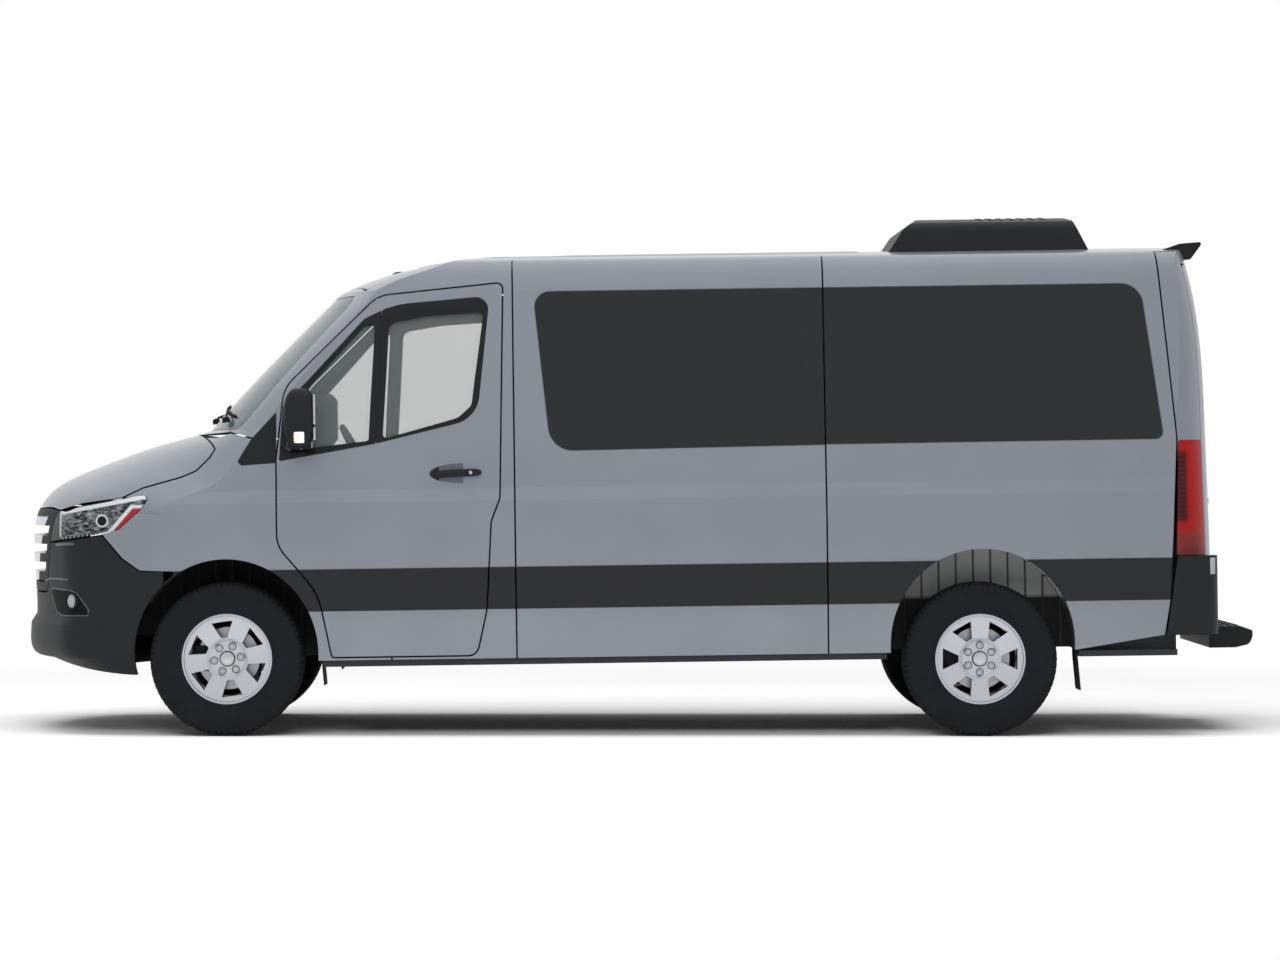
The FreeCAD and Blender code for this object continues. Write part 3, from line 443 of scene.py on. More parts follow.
def tintedGlass(name, colour, alpha, roughness=0.02):
    finish = Finish(name, Base_Color=colour, Alpha=alpha, Specular_IOR_Level=0.35)
    finish.link(Roughness=finish.mixValue(finish.noise(3.0, 2.0), roughness, roughness + 0.03))
    return finish.material


def metal(name, colour, roughness, metallic=1.0, scratch=180.0):
    finish = Finish(name, Metallic=metallic)
    grain = finish.noise(scratch, 3.0, 0.6)
    finish.link(Base_Color=finish.mixColour(grain, colour, shaded(colour, 0.82)),
                Roughness=finish.mixValue(grain, roughness, roughness + 0.12))
    finish.bump(grain, 0.05, 0.0004)
    return finish.material


def wheelAlloy(name, colour, pocket):
    # bright where it faces out to the side and darker down the sides of the openings
    finish = Finish(name, Metallic=0.7)
    grain = finish.noise(500.0, 3.0, 0.6)
    across = finish.add("ShaderNodeSeparateXYZ", (finish.normal,)).outputs[1]
    facing = finish.step(finish.size(across), 0.72, 0.1)
    lit = finish.mixColour(grain, colour, shaded(colour, 0.85))
    finish.link(Base_Color=finish.mixColour(facing, pocket, lit),
                Roughness=finish.mixValue(grain, 0.28, 0.4))
    finish.bump(grain, 0.04, 0.0003)
    return finish.material


def wovenCloth(name, colour, thread=0.0016):
    # two sets of threads crossing, and sewn channels down the seat
    finish = Finish(name, Roughness=0.9, Sheen_Weight=0.25)
    weave = finish.times(finish.wave(finish.side(), thread / 2),
                         finish.wave(finish.along((0.5, 0, 0.87)), thread / 2))
    seam = finish.below(finish.size(finish.wave(finish.side(), 0.11)), 0.12, 0.08)
    # colour darker along the sewn channels and in random patches
    seamsAndPatches = finish.either(seam, finish.noise(60.0))
    finish.link(Base_Color=finish.mixColour(seamsAndPatches, colour, shaded(colour, 0.55)))
    finish.bump(finish.minus(finish.times(weave, 0.3), finish.times(seam, 4.0)), 0.5, 0.001)
    return finish.material


def rubber(name, colour):
    finish = Finish(name, Specular_IOR_Level=0.1)
    dust = finish.noise(14.0, 5.0)
    finish.link(Base_Color=finish.mixColour(dust, colour, tone(30, 32, 36)),
                Roughness=finish.mixValue(dust, 0.55, 0.8))
    finish.bump(finish.noise(300.0, 3.0), 0.2, 0.0006)
    return finish.material


def ribbedLiner(name):
    # pale felt lining over the rear wheels, dark in front, pressed into ribs that run across the arch
    finish = Finish(name, Roughness=0.9)
    groove = finish.below(finish.size(finish.wave(finish.back(), 0.085)), 0.16, 0.1)
    pale = finish.times(finish.step(finish.height(), 0.62, 0.01), finish.step(finish.back(), 2.0, 0.01))
    felt = finish.mixColour(pale, tone(30, 31, 33), tone(166, 167, 168))
    finish.link(Base_Color=finish.mixColour(groove, felt, tone(52, 52, 52)))
    finish.bump(finish.minus(finish.noise(240.0, 4.0), finish.times(groove, 3.0)), 0.5, 0.002)
    return finish.material


def grilleFinish(name):
    # black surround with silver bars in its opening
    finish = Finish(name, Specular_IOR_Level=0.08)
    halfWidth = finish.line(finish.height(), 0.706, 0.345, 0.58)
    inner = finish.step(finish.minus(halfWidth, finish.size(finish.side())), 0.0, 0.002)
    bars = finish.times(inner, finish.band(finish.height(), 0.752, 1.075, 0.002))
    finish.link(Base_Color=finish.mixColour(bars, tone(24, 26, 28), tone(196, 200, 206)),
                Metallic=finish.mixValue(bars, 0.0, 0.9), Roughness=finish.mixValue(bars, 0.5, 0.24))
    finish.bump(finish.noise(240.0), 0.05, 0.0004)
    return finish.material


def headlampFinish(name):
    # dark housing with a pale band along its top and front, a projector with a painted highlight ring, a
    # red reflector behind, and painted reflections as pale patches over the dark inside
    finish = Finish(name, Specular_IOR_Level=0.12)
    back = finish.back()
    height = finish.height()
    fromTop = finish.minus(finish.line(back, -0.79, 1.098, 0.17), height)
    topBand = finish.band(fromTop, -0.012, 0.008, 0.003)
    outline = finish.either(finish.below(fromTop, -0.012, 0.002), finish.below(back, -0.826, 0.003))
    frontBand = finish.band(back, -0.826, -0.816, 0.002)
    foot = finish.line(back, -0.62, 0.985, 0.1)
    teeth = finish.step(finish.wave(back, 0.011), 0.0, 0.2)
    lowEdge = finish.below(finish.minus(height, foot), 0.012, 0.003)
    slanted = finish.minus(back, finish.times(finish.minus(height, 1.05), 0.9))
    redder = finish.times(finish.band(slanted, -0.505, -0.445, 0.003),
                          finish.band(height, 1.0, 1.115, 0.004))
    frameBand = finish.times(finish.band(slanted, -0.530, -0.425, 0.003),
                             finish.band(height, 0.985, 1.13, 0.004))
    ahead, _, up = inBody(-0.60, 0, 1.055)
    away = finish.vector("SUBTRACT", finish.object, (float(ahead), 0.0, float(up)))
    reach = finish.vector("LENGTH", finish.vector("MULTIPLY", away, (1.0, 0.0, 1.0)))
    # painted highlight: a pale ring round the projector's lens
    ring = finish.band(reach, 0.024, 0.031, 0.002)
    lens = finish.below(reach, 0.022, 0.002)
    # painted reflections: pale noise patches over the dark inside, a little rougher where they lie
    shine = finish.step(finish.noise(26.0, 4.0, 0.75, (1.0, 1.0, 2.6)), 0.53, 0.09)
    colour = finish.mixColour(shine, tone(20, 22, 25), tone(128, 134, 138))
    lowColour = finish.mixColour(teeth, tone(22, 23, 25), tone(120, 124, 128))
    for share, other in ((lens, tone(20, 24, 30)),
                         (finish.either(finish.either(topBand, frontBand), ring), tone(186, 190, 194)),
                         (frameBand, tone(190, 193, 196)), (redder, tone(150, 38, 48)),
                         (lowEdge, lowColour), (outline, tone(12, 13, 14))):
        colour = finish.mixColour(share, colour, other)
    finish.link(Base_Color=colour, Roughness=finish.mixValue(shine, 0.12, 0.35))
    return finish.material


def tailLampFinish(name):
    # bright red cover with darker blocks at its front side and a duller foot
    finish = Finish(name, Specular_IOR_Level=0.12)
    height = finish.height()
    back = finish.back()
    seam = finish.minus(back, finish.times(finish.minus(1.09, height), 0.012))
    dark = finish.times(finish.below(seam, 4.685, 0.01), finish.band(height, 0.98, 1.32, 0.01))
    foot = finish.times(finish.band(height, 0.80, 0.93, 0.02), finish.below(seam, 4.76, 0.02))
    lines = finish.step(finish.wave(height, 0.011), 0.4, 0.3)
    colour = finish.mixColour(finish.noise(9.0), tone(176, 6, 12), tone(146, 4, 9))
    colour = finish.mixColour(dark, colour, finish.mixColour(lines, tone(62, 6, 10), tone(84, 9, 13)))
    colour = finish.mixColour(foot, colour, tone(128, 44, 40))
    finish.link(Base_Color=colour, Roughness=finish.mixValue(finish.noise(30.0), 0.1, 0.25))
    finish.bump(lines, 0.1, 0.0006)
    return finish.material


# two finishes hold painted light: the darkest black, on the fog lamp recess, is black plastic painted
# darker as the recess's shade, and the pale ledge grey is painted highlight on the bumper's own black
# ledge, creases and recess rim
plastics = {
    "black_plastic": ((26, 28, 30),), "bumper_plastic": ((29, 31, 33), 0.5, 300.0, 0.15),
    "gloss_black": ((24, 25, 27), 0.18, 60.0, 0.03), "recess_black": ((15, 16, 17), 0.6, 300.0, 0.1, 0.06),
    "ledge_plastic": ((74, 77, 80), 0.4, 300.0, 0.1, 0.3), "window_seal": ((22, 23, 25), 0.7, 500.0, 0.2),
    "grey_trim": ((74, 77, 80), 0.6), "dark_trim": ((44, 46, 49), 0.6),
    "amber_lens": ((214, 150, 60), 0.15, 80.0, 0.05), "white_lens": ((226, 228, 226), 0.12, 80.0, 0.05),
    "red_lens": ((150, 14, 16), 0.15, 80.0, 0.05), "fog_lens": ((150, 152, 156), 0.1, 60.0, 0.1)}
glasses = {"privacy_glass": ((16, 20, 24), 0.93), "clear_glass": ((140, 148, 148), 0.2),
           "windscreen_glass": ((88, 106, 110), 0.62)}
metals = {"mirror_glass": ((205, 210, 214), 0.04, 1.0, 20.0), "bright_steel": ((190, 192, 196), 0.25),
          "cast_iron": ((52, 52, 54), 0.7, 0.5, 120.0), "exhaust_steel": ((120, 114, 106), 0.45, 0.9, 70.0)}
rubbers = {"tyre_rubber": ((17, 18, 21),), "flap_rubber": ((28, 30, 32),)}

finishes = {"van_paint": bodyPaint("van_paint", False),
            "banded_paint": bodyPaint("van_paint_with_band", True),
            "wheel_alloy": wheelAlloy("wheel_alloy", tone(186, 189, 195), tone(70, 72, 76)),
            "seat_cloth": wovenCloth("seat_cloth", tone(58, 61, 68)), "arch_felt": ribbedLiner("arch_felt"),
            "grille": grilleFinish("grille_finish"), "headlamp": headlampFinish("headlamp_finish"),
            "tail_lamp": tailLampFinish("tail_lamp_finish")}
for make, table in ((mouldedPlastic, plastics), (tintedGlass, glasses), (metal, metals), (rubber, rubbers)):
    for name, (colour, *settings) in table.items():
        finishes[name] = make(name, tone(*colour), *settings)

# each finish with how its nodes' names begin; the longest such beginning counts
nodeFinishes = {
    "banded_paint": "side_panel sliding_door fenders front_door cab_frame",
    "van_paint": "rear_corners roof bonnet rear_door",
    "privacy_glass": "side_glass rear_door_glass", "clear_glass": "front_door_glass",
    "windscreen_glass": "windscreen", "tail_lamp": "tail_lamps", "headlamp": "headlamps",
    "grille": "grille", "bumper_plastic": "front_bumper rear_bumper", "gloss_black": "roof_spoiler",
    "black_plastic": "rear_step roof_air_conditioner mirror fuel_tank steering_wheel",
    "dark_trim": "floor", "grey_trim": "dashboard seat_frames", "arch_felt": "arch_liners",
    "flap_rubber": "mudflaps", "seat_cloth": "front_seats rear_seats", "exhaust_steel": "exhaust",
    "cast_iron": "engine knuckle front_suspension rear_axle", "wheel_alloy": "rim", "tyre_rubber": "tyre"}
starts = {start: finishName for finishName, names in nodeFinishes.items() for start in names.split()}

for nodeName, node in nodes.items():
    start = max((start for start in starts if nodeName.startswith(start)), key=len)
    for materialSlot in node.material_slots:
        materialSlot.material = finishes[starts[start]]
print("finishes on", len(nodes), "nodes")


# wheels

tyreValues = {
    "around": 600, "across": 70, "grooves": (0.0, 0.030, 0.060), "grooveHalf": 0.0040, "deep": 0.007,
    "blocks": 75, "slotHalf": 0.11, "slotDeep": 0.8, "fineHalf": 0.13, "fineDeep": 0.45, "bend": 0.35,
    "shoulder": 0.033, "centre": 0.026, "tread": 0.37, "treadEdge": 0.355,
    "section": [(0.104, 0.2208), (0.1075, 0.224), (0.1075, 0.232), (0.1145, 0.245), (0.1205, 0.272),
        (0.1218, 0.292), (0.1205, 0.310), (0.1208, 0.3125), (0.1175, 0.3320), (0.1130, 0.350),
        (0.1065, 0.3625), (0.0960, 0.3705), (0.0840, 0.3738), (0.0, 0.3749)]}
wheels = {
    "front_left": (0.0, 1, -22), "front_right": (0.0, -1, -22), "rear_left": (van["wheelbase"], 1, 0),
    "rear_right": (van["wheelbase"], -1, 0)}


def tyreParts(centre):
    # a ring whose section bulges at the sides and is nearly flat on top; grooves run round the
    # tread and slots cross its shoulders, both as dips in the radius
    half = tyreValues["section"]
    section = half + [(-place, radius) for place, radius in half[-2::-1]]
    across, radius = spaced(section, tyreValues["across"]).T
    angle = fullTurn(tyreValues["around"])[:, None]
    turn = angle * tyreValues["blocks"] / (2 * math.pi)
    shift = tyreValues["bend"] * np.sin(across * 50)[None]
    onShoulder = (np.abs(across) > tyreValues["shoulder"]) & (radius > tyreValues["treadEdge"])
    slots = (np.abs((turn + shift) % 1 - 0.5) < tyreValues["slotHalf"]) & onShoulder[None]
    onTread = radius > tyreValues["tread"]
    onCentre = (np.abs(across) < tyreValues["centre"]) & onTread
    fine = (np.abs((turn * 2 - shift) % 1 - 0.5) < tyreValues["fineHalf"]) & onCentre[None]
    wide = tyreValues["grooveHalf"]
    grooves = [np.abs(np.abs(across) - groove) < wide for groove in tyreValues["grooves"]]
    dip = np.maximum(slots * tyreValues["slotDeep"], fine * tyreValues["fineDeep"])
    dip = np.maximum(dip, (np.any(grooves, axis=0) & onTread)[None] * 1.0) * tyreValues["deep"]
    reach = radius[None] - dip
    points = np.stack([centre[0] + reach * np.sin(angle), np.broadcast_to(centre[1] + across, reach.shape),
                       centre[2] + reach * np.cos(angle)], axis=-1)
    return points, gridFaces(*reach.shape, closeRows=True, closeColumns=True)


# each part of the wheel's trim: reach from the axle, how far out its face lies, facets, profile
trimValues = {
    "nut": (0.065, 0.0515, 12, [(0, 0.015525), (0.003, 0.015525), (0.004, 0.0115), (0.012, 0.0115),
        (0.014, 0.0092), (0.011, 0.006325), (0.010, 0.0002)]),
    "seat": (0.065, 0.0515, 20, [(-0.004, 0), (-0.004, 0.020125), (0.0012, 0.01955), (0.0014, 0)]),
    "cap": (0.0, 0.0615, 40, [(0, 0.03162), (0.004, 0.031), (0.0055, 0.0279), (0.0035, 0.0248),
        (0.0045, 0.0186), (0.0062, 0.0093), (0.0066, 0.0002)]),
    "valve": (0.196, 0.055, 10, [(0, 0.005), (0.018, 0.0045), (0.03, 0.004), (0.032, 0.0002)]), "nuts": 6,
    "valveTurn": 30}


def wheelTrim(centre, sign, phase):
    # bolt heads on their circle, the plain hub cap and the valve, and apart from them the dark seats, discs
    # painted as the shade in the bolt holes
    def turned(part, degrees):
        reach, face, around, profile = trimValues[part]
        angle = math.radians(degrees)
        place = np.array(centre) + (reach * math.sin(angle), sign * face, reach * math.cos(angle))
        return latheParts(profile, place, (0, sign, 0), around)

    turns = [phase + number * 360 / trimValues["nuts"] for number in range(trimValues["nuts"])]
    bolts = [turned("nut", turn) for turn in turns]
    bolts += [turned("cap", 0), turned("valve", phase + trimValues["valveTurn"])]
    return joined(bolts), joined([turned("seat", turn) for turn in turns])


for wheelName, (back, sign, phase) in wheels.items():
    centre = (van["frontAxle"] - back, sign * van["halfTrack"], van["wheelRadius"])
    body = wheelName + "_wheel"
    tyre = meshObject("tread_" + wheelName, tyreParts(centre), "tyre_rubber", body)
    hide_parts("tyre_" + wheelName)
    bolts, seats = wheelTrim(centre, sign, phase)
    meshObject("bolts_" + wheelName, bolts, "bright_steel", body)
    # dark discs under the bolts: painted shade of the bolt holes
    meshObject("bolt_hole_shades_" + wheelName, seats, "window_seal", body)
print("wheels dressed")


# front door windows: a black surround on the skin, with its inner edge turned in to the glass

frameValues = {
    "proud": 0.0018, "around": 260, "shrink": 0.002, "sailProud": 0.0016, "under": -0.004,
    "inward": -0.0095,
    "mainOuter": [(0.738, 1.412, 0.004), (1.2335, 1.528, 0.15), (1.302, 2.126, 0.06), (0.873, 2.092, 0.4),
        (0.800, 2.072, 0.02), (0.778, 2.063, 0.004)],
    "mainInner": [(0.772, 1.432, 0.018), (0.809, 2.000, 0.045), (1.010, 2.032, 0.12), (1.272, 2.046, 0.02),
        (1.208, 1.590, 0.04), (1.140, 1.530, 0.09)],
    "mainCentre": (1.01, 1.76),
    "quarterOuter": [(0.268, 1.333, 0.004), (0.290, 1.600, 0.02), (0.417, 1.730, 0.05),
        (0.690, 2.022, 0.05), (0.778, 2.063, 0.004), (0.738, 1.412, 0.004)],
    "quarterInner": [(0.300, 1.380, 0.014), (0.305, 1.572, 0.03), (0.690, 1.985, 0.018),
        (0.742, 1.990, 0.010), (0.706, 1.425, 0.014)],
    "quarterCentre": (0.57, 1.62),
    "sail": [(0.066, 1.334, 0.012), (0.084, 1.315, 0.010), (0.255, 1.325, 0.002), (0.258, 1.574, 0.004),
        (0.134, 1.442, 0.03)],
    "sailCentre": (0.19, 1.39)}


def reachAtAngles(corners, centre, angles):
    # how far an outline lies from a centre in each direction
    loop = roundedLoop(corners, 1500) - np.asarray(centre)
    turned = np.arctan2(loop[:, 1], loop[:, 0])
    order = np.argsort(turned)
    return np.interp(angles, turned[order], np.linalg.norm(loop, axis=1)[order], period=2 * math.pi)


def sidePanel(name, outer, inner, centre, sign, finishName, body, proud, place=onSide):
    # a thin panel on the van's side: in each direction from its centre it runs from the inner outline
    # (or the centre) to the outer one, over the top and back underneath
    angles = np.linspace(-math.pi, math.pi, frameValues["around"], endpoint=False)
    far = reachAtAngles(outer, centre, angles)
    under, inward = frameValues["under"], frameValues["inward"]
    edge = [(0.96, proud), (1.0, proud * 0.4), (1.0, under)]
    if inner:
        near = reachAtAngles(inner, centre, angles) - frameValues["shrink"]
        profile = [(0.0, inward), (0.0, proud * 0.5), (0.03, proud), *edge, (0.1, under), (0.02, inward)]
    else:
        near = np.zeros_like(far)
        profile = [*[(share, proud) for share in (0.0, 0.25, 0.5, 0.75)], *edge, (0.0, under)]
    share, out = np.array(profile).T
    reach = near[:, None] + (far - near)[:, None] * share
    points = place(centre[0] + reach * np.cos(angles)[:, None], centre[1] + reach * np.sin(angles)[:, None],
                   np.broadcast_to(out, reach.shape), sign)
    faces = gridFaces(len(angles), len(profile), closeRows=True, closeColumns=bool(inner))
    meshObject(name, (points, faces), finishName, body)


for sideName, sign in sides.items():
    for part in ("main", "quarter"):
        outlines = [frameValues[part + which] for which in ("Outer", "Inner", "Centre")]
        sidePanel(part + "_window_frame_" + sideName, *outlines, sign, "gloss_black",
                  sideName + "_front_door", frameValues["proud"])
    sidePanel("sail_patch_" + sideName, frameValues["sail"], None, frameValues["sailCentre"], sign,
              "black_plastic", "body", frameValues["sailProud"])
print("door windows framed")


# handles

handleValues = {
    "length": 0.238, "height": 0.0180, "thick": 0.0085, "out": 0.012, "bow": 0.012, "along": 41,
    "around": 24, "feet": (-0.42, 0.40), "lock": (0.063, 0.003, 0.022),
    "foot": [(0, 0), (0, 0.013), (0.024, 0.011), (0.026, 0)],
    "lockProfile": [(0, 0), (0, 0.0095), (0.007, 0.0090), (0.0080, 0.006), (0.0076, 0)]}


def handleOnSide(name, back, height, sign, body):
    # a bar along the side whose round section swells and stands off in the middle of its length,
    # on two feet, with a lock behind it
    along = np.linspace(0, 1, handleValues["along"])[:, None]
    angle = fullTurn(handleValues["around"])
    swell = np.sqrt(np.clip(1 - np.abs(2 * along - 1) ** 7, 0, 1))
    deep = handleValues["out"] + handleValues["bow"] * np.sin(math.pi * along) ** 0.7
    fall = -0.010 * (1 - along) ** 5 + 0.004 * along
    bar = onSide(back + handleValues["length"] * (along - 0.5) + 0 * angle,
                 height + fall + handleValues["height"] * swell * np.sin(angle),
                 deep + handleValues["thick"] * swell * np.cos(angle), sign)
    parts = [(bar, gridFaces(len(along), len(angle), closeColumns=True))]
    for foot in handleValues["feet"]:
        place = onSide(back + handleValues["length"] * foot, height, -0.012, sign)
        parts.append(latheParts(handleValues["foot"], place, (0, sign, 0), 16))
    meshObject(name, joined(parts), "black_plastic", body)
    behind, above, out = handleValues["lock"]
    lock = latheParts(handleValues["lockProfile"], onSide(back + behind, height + above, out, sign),
                      (0, sign, 0), 24)
    meshObject(name + "_lock", lock, "bright_steel", body)


handleOnSide("handle_left", 1.135, 1.263, 1, "left_front_door")
handleOnSide("handle_right", 1.135, 1.263, -1, "right_front_door")
handleOnSide("sliding_door_handle", 1.594, 1.262, -1, "body")


# mirrors: a rounded housing on a foot, two panes facing back and a marker lamp at its foot

mirrorValues = {
    "middle": (0.377, 1.094, 1.545), "half": (0.076, 0.0765, 0.140), "squareness": 3.4, "rows": 41,
    "around": 72, "foot": ((0.318, 0.958, 1.392), (0.428, 1.060, 1.448)),
    "panes": [((0.4480, 1.035, 1.508), (0.4520, 1.152, 1.655)),
        ((0.4480, 1.035, 1.432), (0.4520, 1.152, 1.496))],
    "lamp": ((0.356, 1.150, 1.420), (0.404, 1.1700, 1.474)),
    "amber": ((0.352, 1.140, 1.426), (0.372, 1.1695, 1.470))}


def mirrorHousing():
    # a squarish egg: each direction from its middle reaches a superellipsoid, which narrows
    # towards the top at its front and a little towards the foot
    rows, around = mirrorValues["rows"], mirrorValues["around"]
    along, across, up = squareBall(rows, around, 2 / mirrorValues["squareness"])
    narrow = 1 - 0.20 * np.clip(up, 0, 1) ** 2
    along = np.where(along < 0, along * narrow, np.minimum(along, 0.96))
    points = np.stack([along, across * (1 - 0.06 * np.clip(-up, 0, 1)), up], -1)
    points = points * mirrorValues["half"] + mirrorValues["middle"]
    return points, gridFaces(rows, around, closeColumns=True)


for sideName, sign in sides.items():
    door = sideName + "_front_door"
    shell = [inBodyParts(mirrorHousing(), sign), bodyBox(*mirrorValues["foot"], sign)]
    housing = meshObject("mirror_housing_" + sideName, joined(shell), "black_plastic", door)
    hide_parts("mirror_" + sideName)
    panes = [bodyBox(*pane, sign) for pane in mirrorValues["panes"]]
    meshObject("mirror_panes_" + sideName, joined(panes), "mirror_glass", door)
    for part, finishName in (("lamp", "white_lens"), ("amber", "amber_lens")):
        meshObject("mirror_" + part + "_" + sideName, bodyBox(*mirrorValues[part], sign), finishName, door)
print("handles and mirrors placed")


# wipers on the windscreen, roof ribs and the roof lamp, all laid on the surface below them

def laidPath(names, back, across, lift=0.0):
    # a path over the first of the nodes met straight below each of its places
    trees = [nodeTree(name) for name in names]
    path = []
    for ahead, side in zip(back, across):
        hits = [onTop(tree, ahead, side) for tree in trees]
        path.append((van["frontAxle"] - ahead, side, max(hit[2] for hit in hits if hit is not None) + lift))
    return np.array(path)


wiperValues = {
    "count": 24, "lift": 0.012, "foot": -0.100, "bow": 0.155, "half": 0.78, "rise": 0.05,
    "arm": [(2, (0.035, 0, -0.022)), (3, (0.032, 0, -0.006)), (12, (0, 0, 0.008))],
    "knob": [(0, 0), (0, 0.020), (0.022, 0.018), (0.028, 0.010), (0.029, 0)],
    "spans": {"wiper_left": (0.70, 0.06), "wiper_right": (-0.02, -0.66)}}


def layWiper(name, start, end):
    # a blade with its rubber edge along the screen's foot, an arm to its middle and a knob
    across = np.linspace(start, end, wiperValues["count"])
    back = wiperValues["foot"] + wiperValues["bow"] * (across / wiperValues["half"]) ** 2
    back = back + wiperValues["rise"] * np.linspace(0, 1, len(across))
    path = laidPath(["windscreen"], back, across, wiperValues["lift"])
    arm = spaced([path[place] + lift for place, lift in wiperValues["arm"]], 20)
    knob = latheParts(wiperValues["knob"], arm[0] - (0, 0, 0.014), (0.2, 0, 1), 20)
    edge = path - (0, 0, 0.008)
    tubes = [tubeParts(*tube) for tube in ((path, 0.0065, 8), (edge, 0.0035, 6), (arm, 0.006, 8))]
    meshObject(name, joined([*tubes, knob]), "window_seal")


for wiperName, span in wiperValues["spans"].items():
    layWiper(wiperName, *span)

ribValues = {
    "sides": (-0.52, -0.26, 0.0, 0.26, 0.52), "backs": (0.92, 3.10, 60), "half": 0.022, "tall": 0.0035,
    "section": [(-1, -0.6), (-0.6, 0.5), (0, 1), (0.6, 0.5), (1, -0.6)]}


def roofRibs():
    # a low rounded section carried back along the roof at each place across it
    section = np.array(ribValues["section"]) * (ribValues["half"], ribValues["tall"])
    back = np.linspace(*ribValues["backs"])
    parts = [stripParts(laidPath(["roof"], back, np.full_like(back, side)), section, (0, 0, 1))
             for side in ribValues["sides"]]
    meshObject("roof_ribs", joined(parts), "van_paint")


roofRibs()
# the roof lamp is a dome turned about a line that leans with the roof
domeValues = {
    "back": 0.80, "lean": (0.06, 0, 1),
    "profile": [(-0.006, 0), (-0.006, 0.034), (0.004, 0.034), (0.010, 0.028), (0.015, 0.016), (0.0165, 0)]}
domePlace = laidPath(["roof", "cab_frame"], [domeValues["back"]], [0.0])[0]
meshObject("roof_lamp", latheParts(domeValues["profile"], domePlace, domeValues["lean"], 32), "gloss_black")
print("roof and wipers dressed")


# front: fog lamps in their recess, creases on the bumper, and the radiator behind the grille

bumperTree = nodeTree("front_bumper")
fogValues = {"back": -0.757, "height": 0.664, "radius": 0.036, "way": (0.72, 0.69, 0.02)}


def addFogLamp(sideName, sign):
    # a ring and a lens turned about the way the bumper's corner faces
    start = inBody(fogValues["back"], van["clear"] * sign, fogValues["height"])
    place = touch(bumperTree, start, (0, -sign, 0))
    way = np.array(fogValues["way"]) * (1, sign, 1)
    radius = fogValues["radius"]
    ring = [(-0.03, 0), (-0.03, radius * 1.15), (0.012, radius * 1.15), (0.016, radius * 1.08),
            (0.013, radius), (0.002, radius * 0.98), (0.002, 0)]
    lens = [(0.001, 0), (0.001, radius * 0.97), (0.008, radius * 0.9), (0.013, radius * 0.6), (0.015, 0)]
    meshObject("fog_ring_" + sideName, latheParts(ring, place, way, 40), "black_plastic")
    meshObject("fog_lens_" + sideName, latheParts(lens, place, way, 40), "fog_lens")


bumperBacks = np.linspace(-0.95, -0.60, 71)
bumperHeights = np.linspace(0.55, 0.97, 85)
bumperHits = [[touch(bumperTree, start, (0, -1, 0)) for start in inBody(back, van["clear"], bumperHeights)]
              for back in bumperBacks]
bumperSides = np.array([[np.nan if hit is None else hit[1] for hit in row] for row in bumperHits])
bumperSides = np.where(np.isnan(bumperSides), np.nanmean(bumperSides, axis=1, keepdims=True), bumperSides)
bumperLeans = np.gradient(bumperSides, bumperBacks, bumperHeights)


def onBumper(back, height, proud, sign=1):
    # a point at this place on the bumper's cheek, moved out along the surface's own normal
    row, column = [np.clip((value - table[0]) / (table[1] - table[0]), 0, len(table) - 1.001)
                   for value, table in ((back, bumperBacks), (height, bumperHeights))]
    low, left = row.astype(int), column.astype(int)
    share, rise = row - low, column - left

    def read(table):
        near = table[low, left] * (1 - rise) + table[low, left + 1] * rise
        far = table[low + 1, left] * (1 - rise) + table[low + 1, left + 1] * rise
        return near * (1 - share) + far * share

    way = unit(np.stack([read(bumperLeans[0]), np.ones_like(row), -read(bumperLeans[1])], axis=-1))
    points = inBody(back, read(bumperSides), height) + way * np.asarray(proud)[..., None]
    return points * (1, sign, 1)


cheekValues = {
    "recess": [(-0.888, 0.723, 0.012), (-0.851, 0.606, 0.014), (-0.818, 0.592, 0.010),
        (-0.676, 0.594, 0.006), (-0.676, 0.624, 0.010), (-0.732, 0.700, 0.02), (-0.772, 0.717, 0.02)],
    "centre": (-0.775, 0.655), "proud": 0.0022, "rim": 0.0034,
    "ledge": [(-0.845, 0.938), (-0.800, 0.942), (-0.742, 0.944)], "ledgeRadius": 0.007,
    "crease": [(-0.925, 0.757), (-0.887, 0.771), (-0.835, 0.771), (-0.778, 0.768)], "creaseRadius": 0.0045}


def dressCheek(sideName, sign):
    # the fog lamp recess as a flat panel of black plastic painted darker as the recess's shade, and its
    # raised rim, the ledge under the headlamp and the crease between as tubes painted pale grey as
    # highlight
    sidePanel("fog_recess_shade_" + sideName, cheekValues["recess"], None, cheekValues["centre"], sign,
              "recess_black", "body", cheekValues["proud"], onBumper)
    loop = roundedLoop(cheekValues["recess"], 140)
    lines = [(np.concatenate([loop, loop[:1]]), cheekValues["rim"]),
             (spaced(cheekValues["ledge"], 30), cheekValues["ledgeRadius"]),
             (spaced(cheekValues["crease"], 30), cheekValues["creaseRadius"])]
    parts = [tubeParts(onBumper(*line.T, np.zeros(len(line)), sign), radius) for line, radius in lines]
    # the tubes' pale grey is painted highlight on the bumper's own black plastic
    meshObject("bumper_creases_" + sideName, joined(parts), "ledge_plastic")


for sideName, sign in sides.items():
    addFogLamp(sideName, sign)
    dressCheek(sideName, sign)

coolerValues = {
    "core": ((-0.868, -0.47, 0.62), (-0.838, 0.47, 1.05)), "tank": 0.025, "tankAhead": 0.010, "tubes": 26,
    "tube": 0.0035, "tubeOut": 0.004, "inset": 0.02}


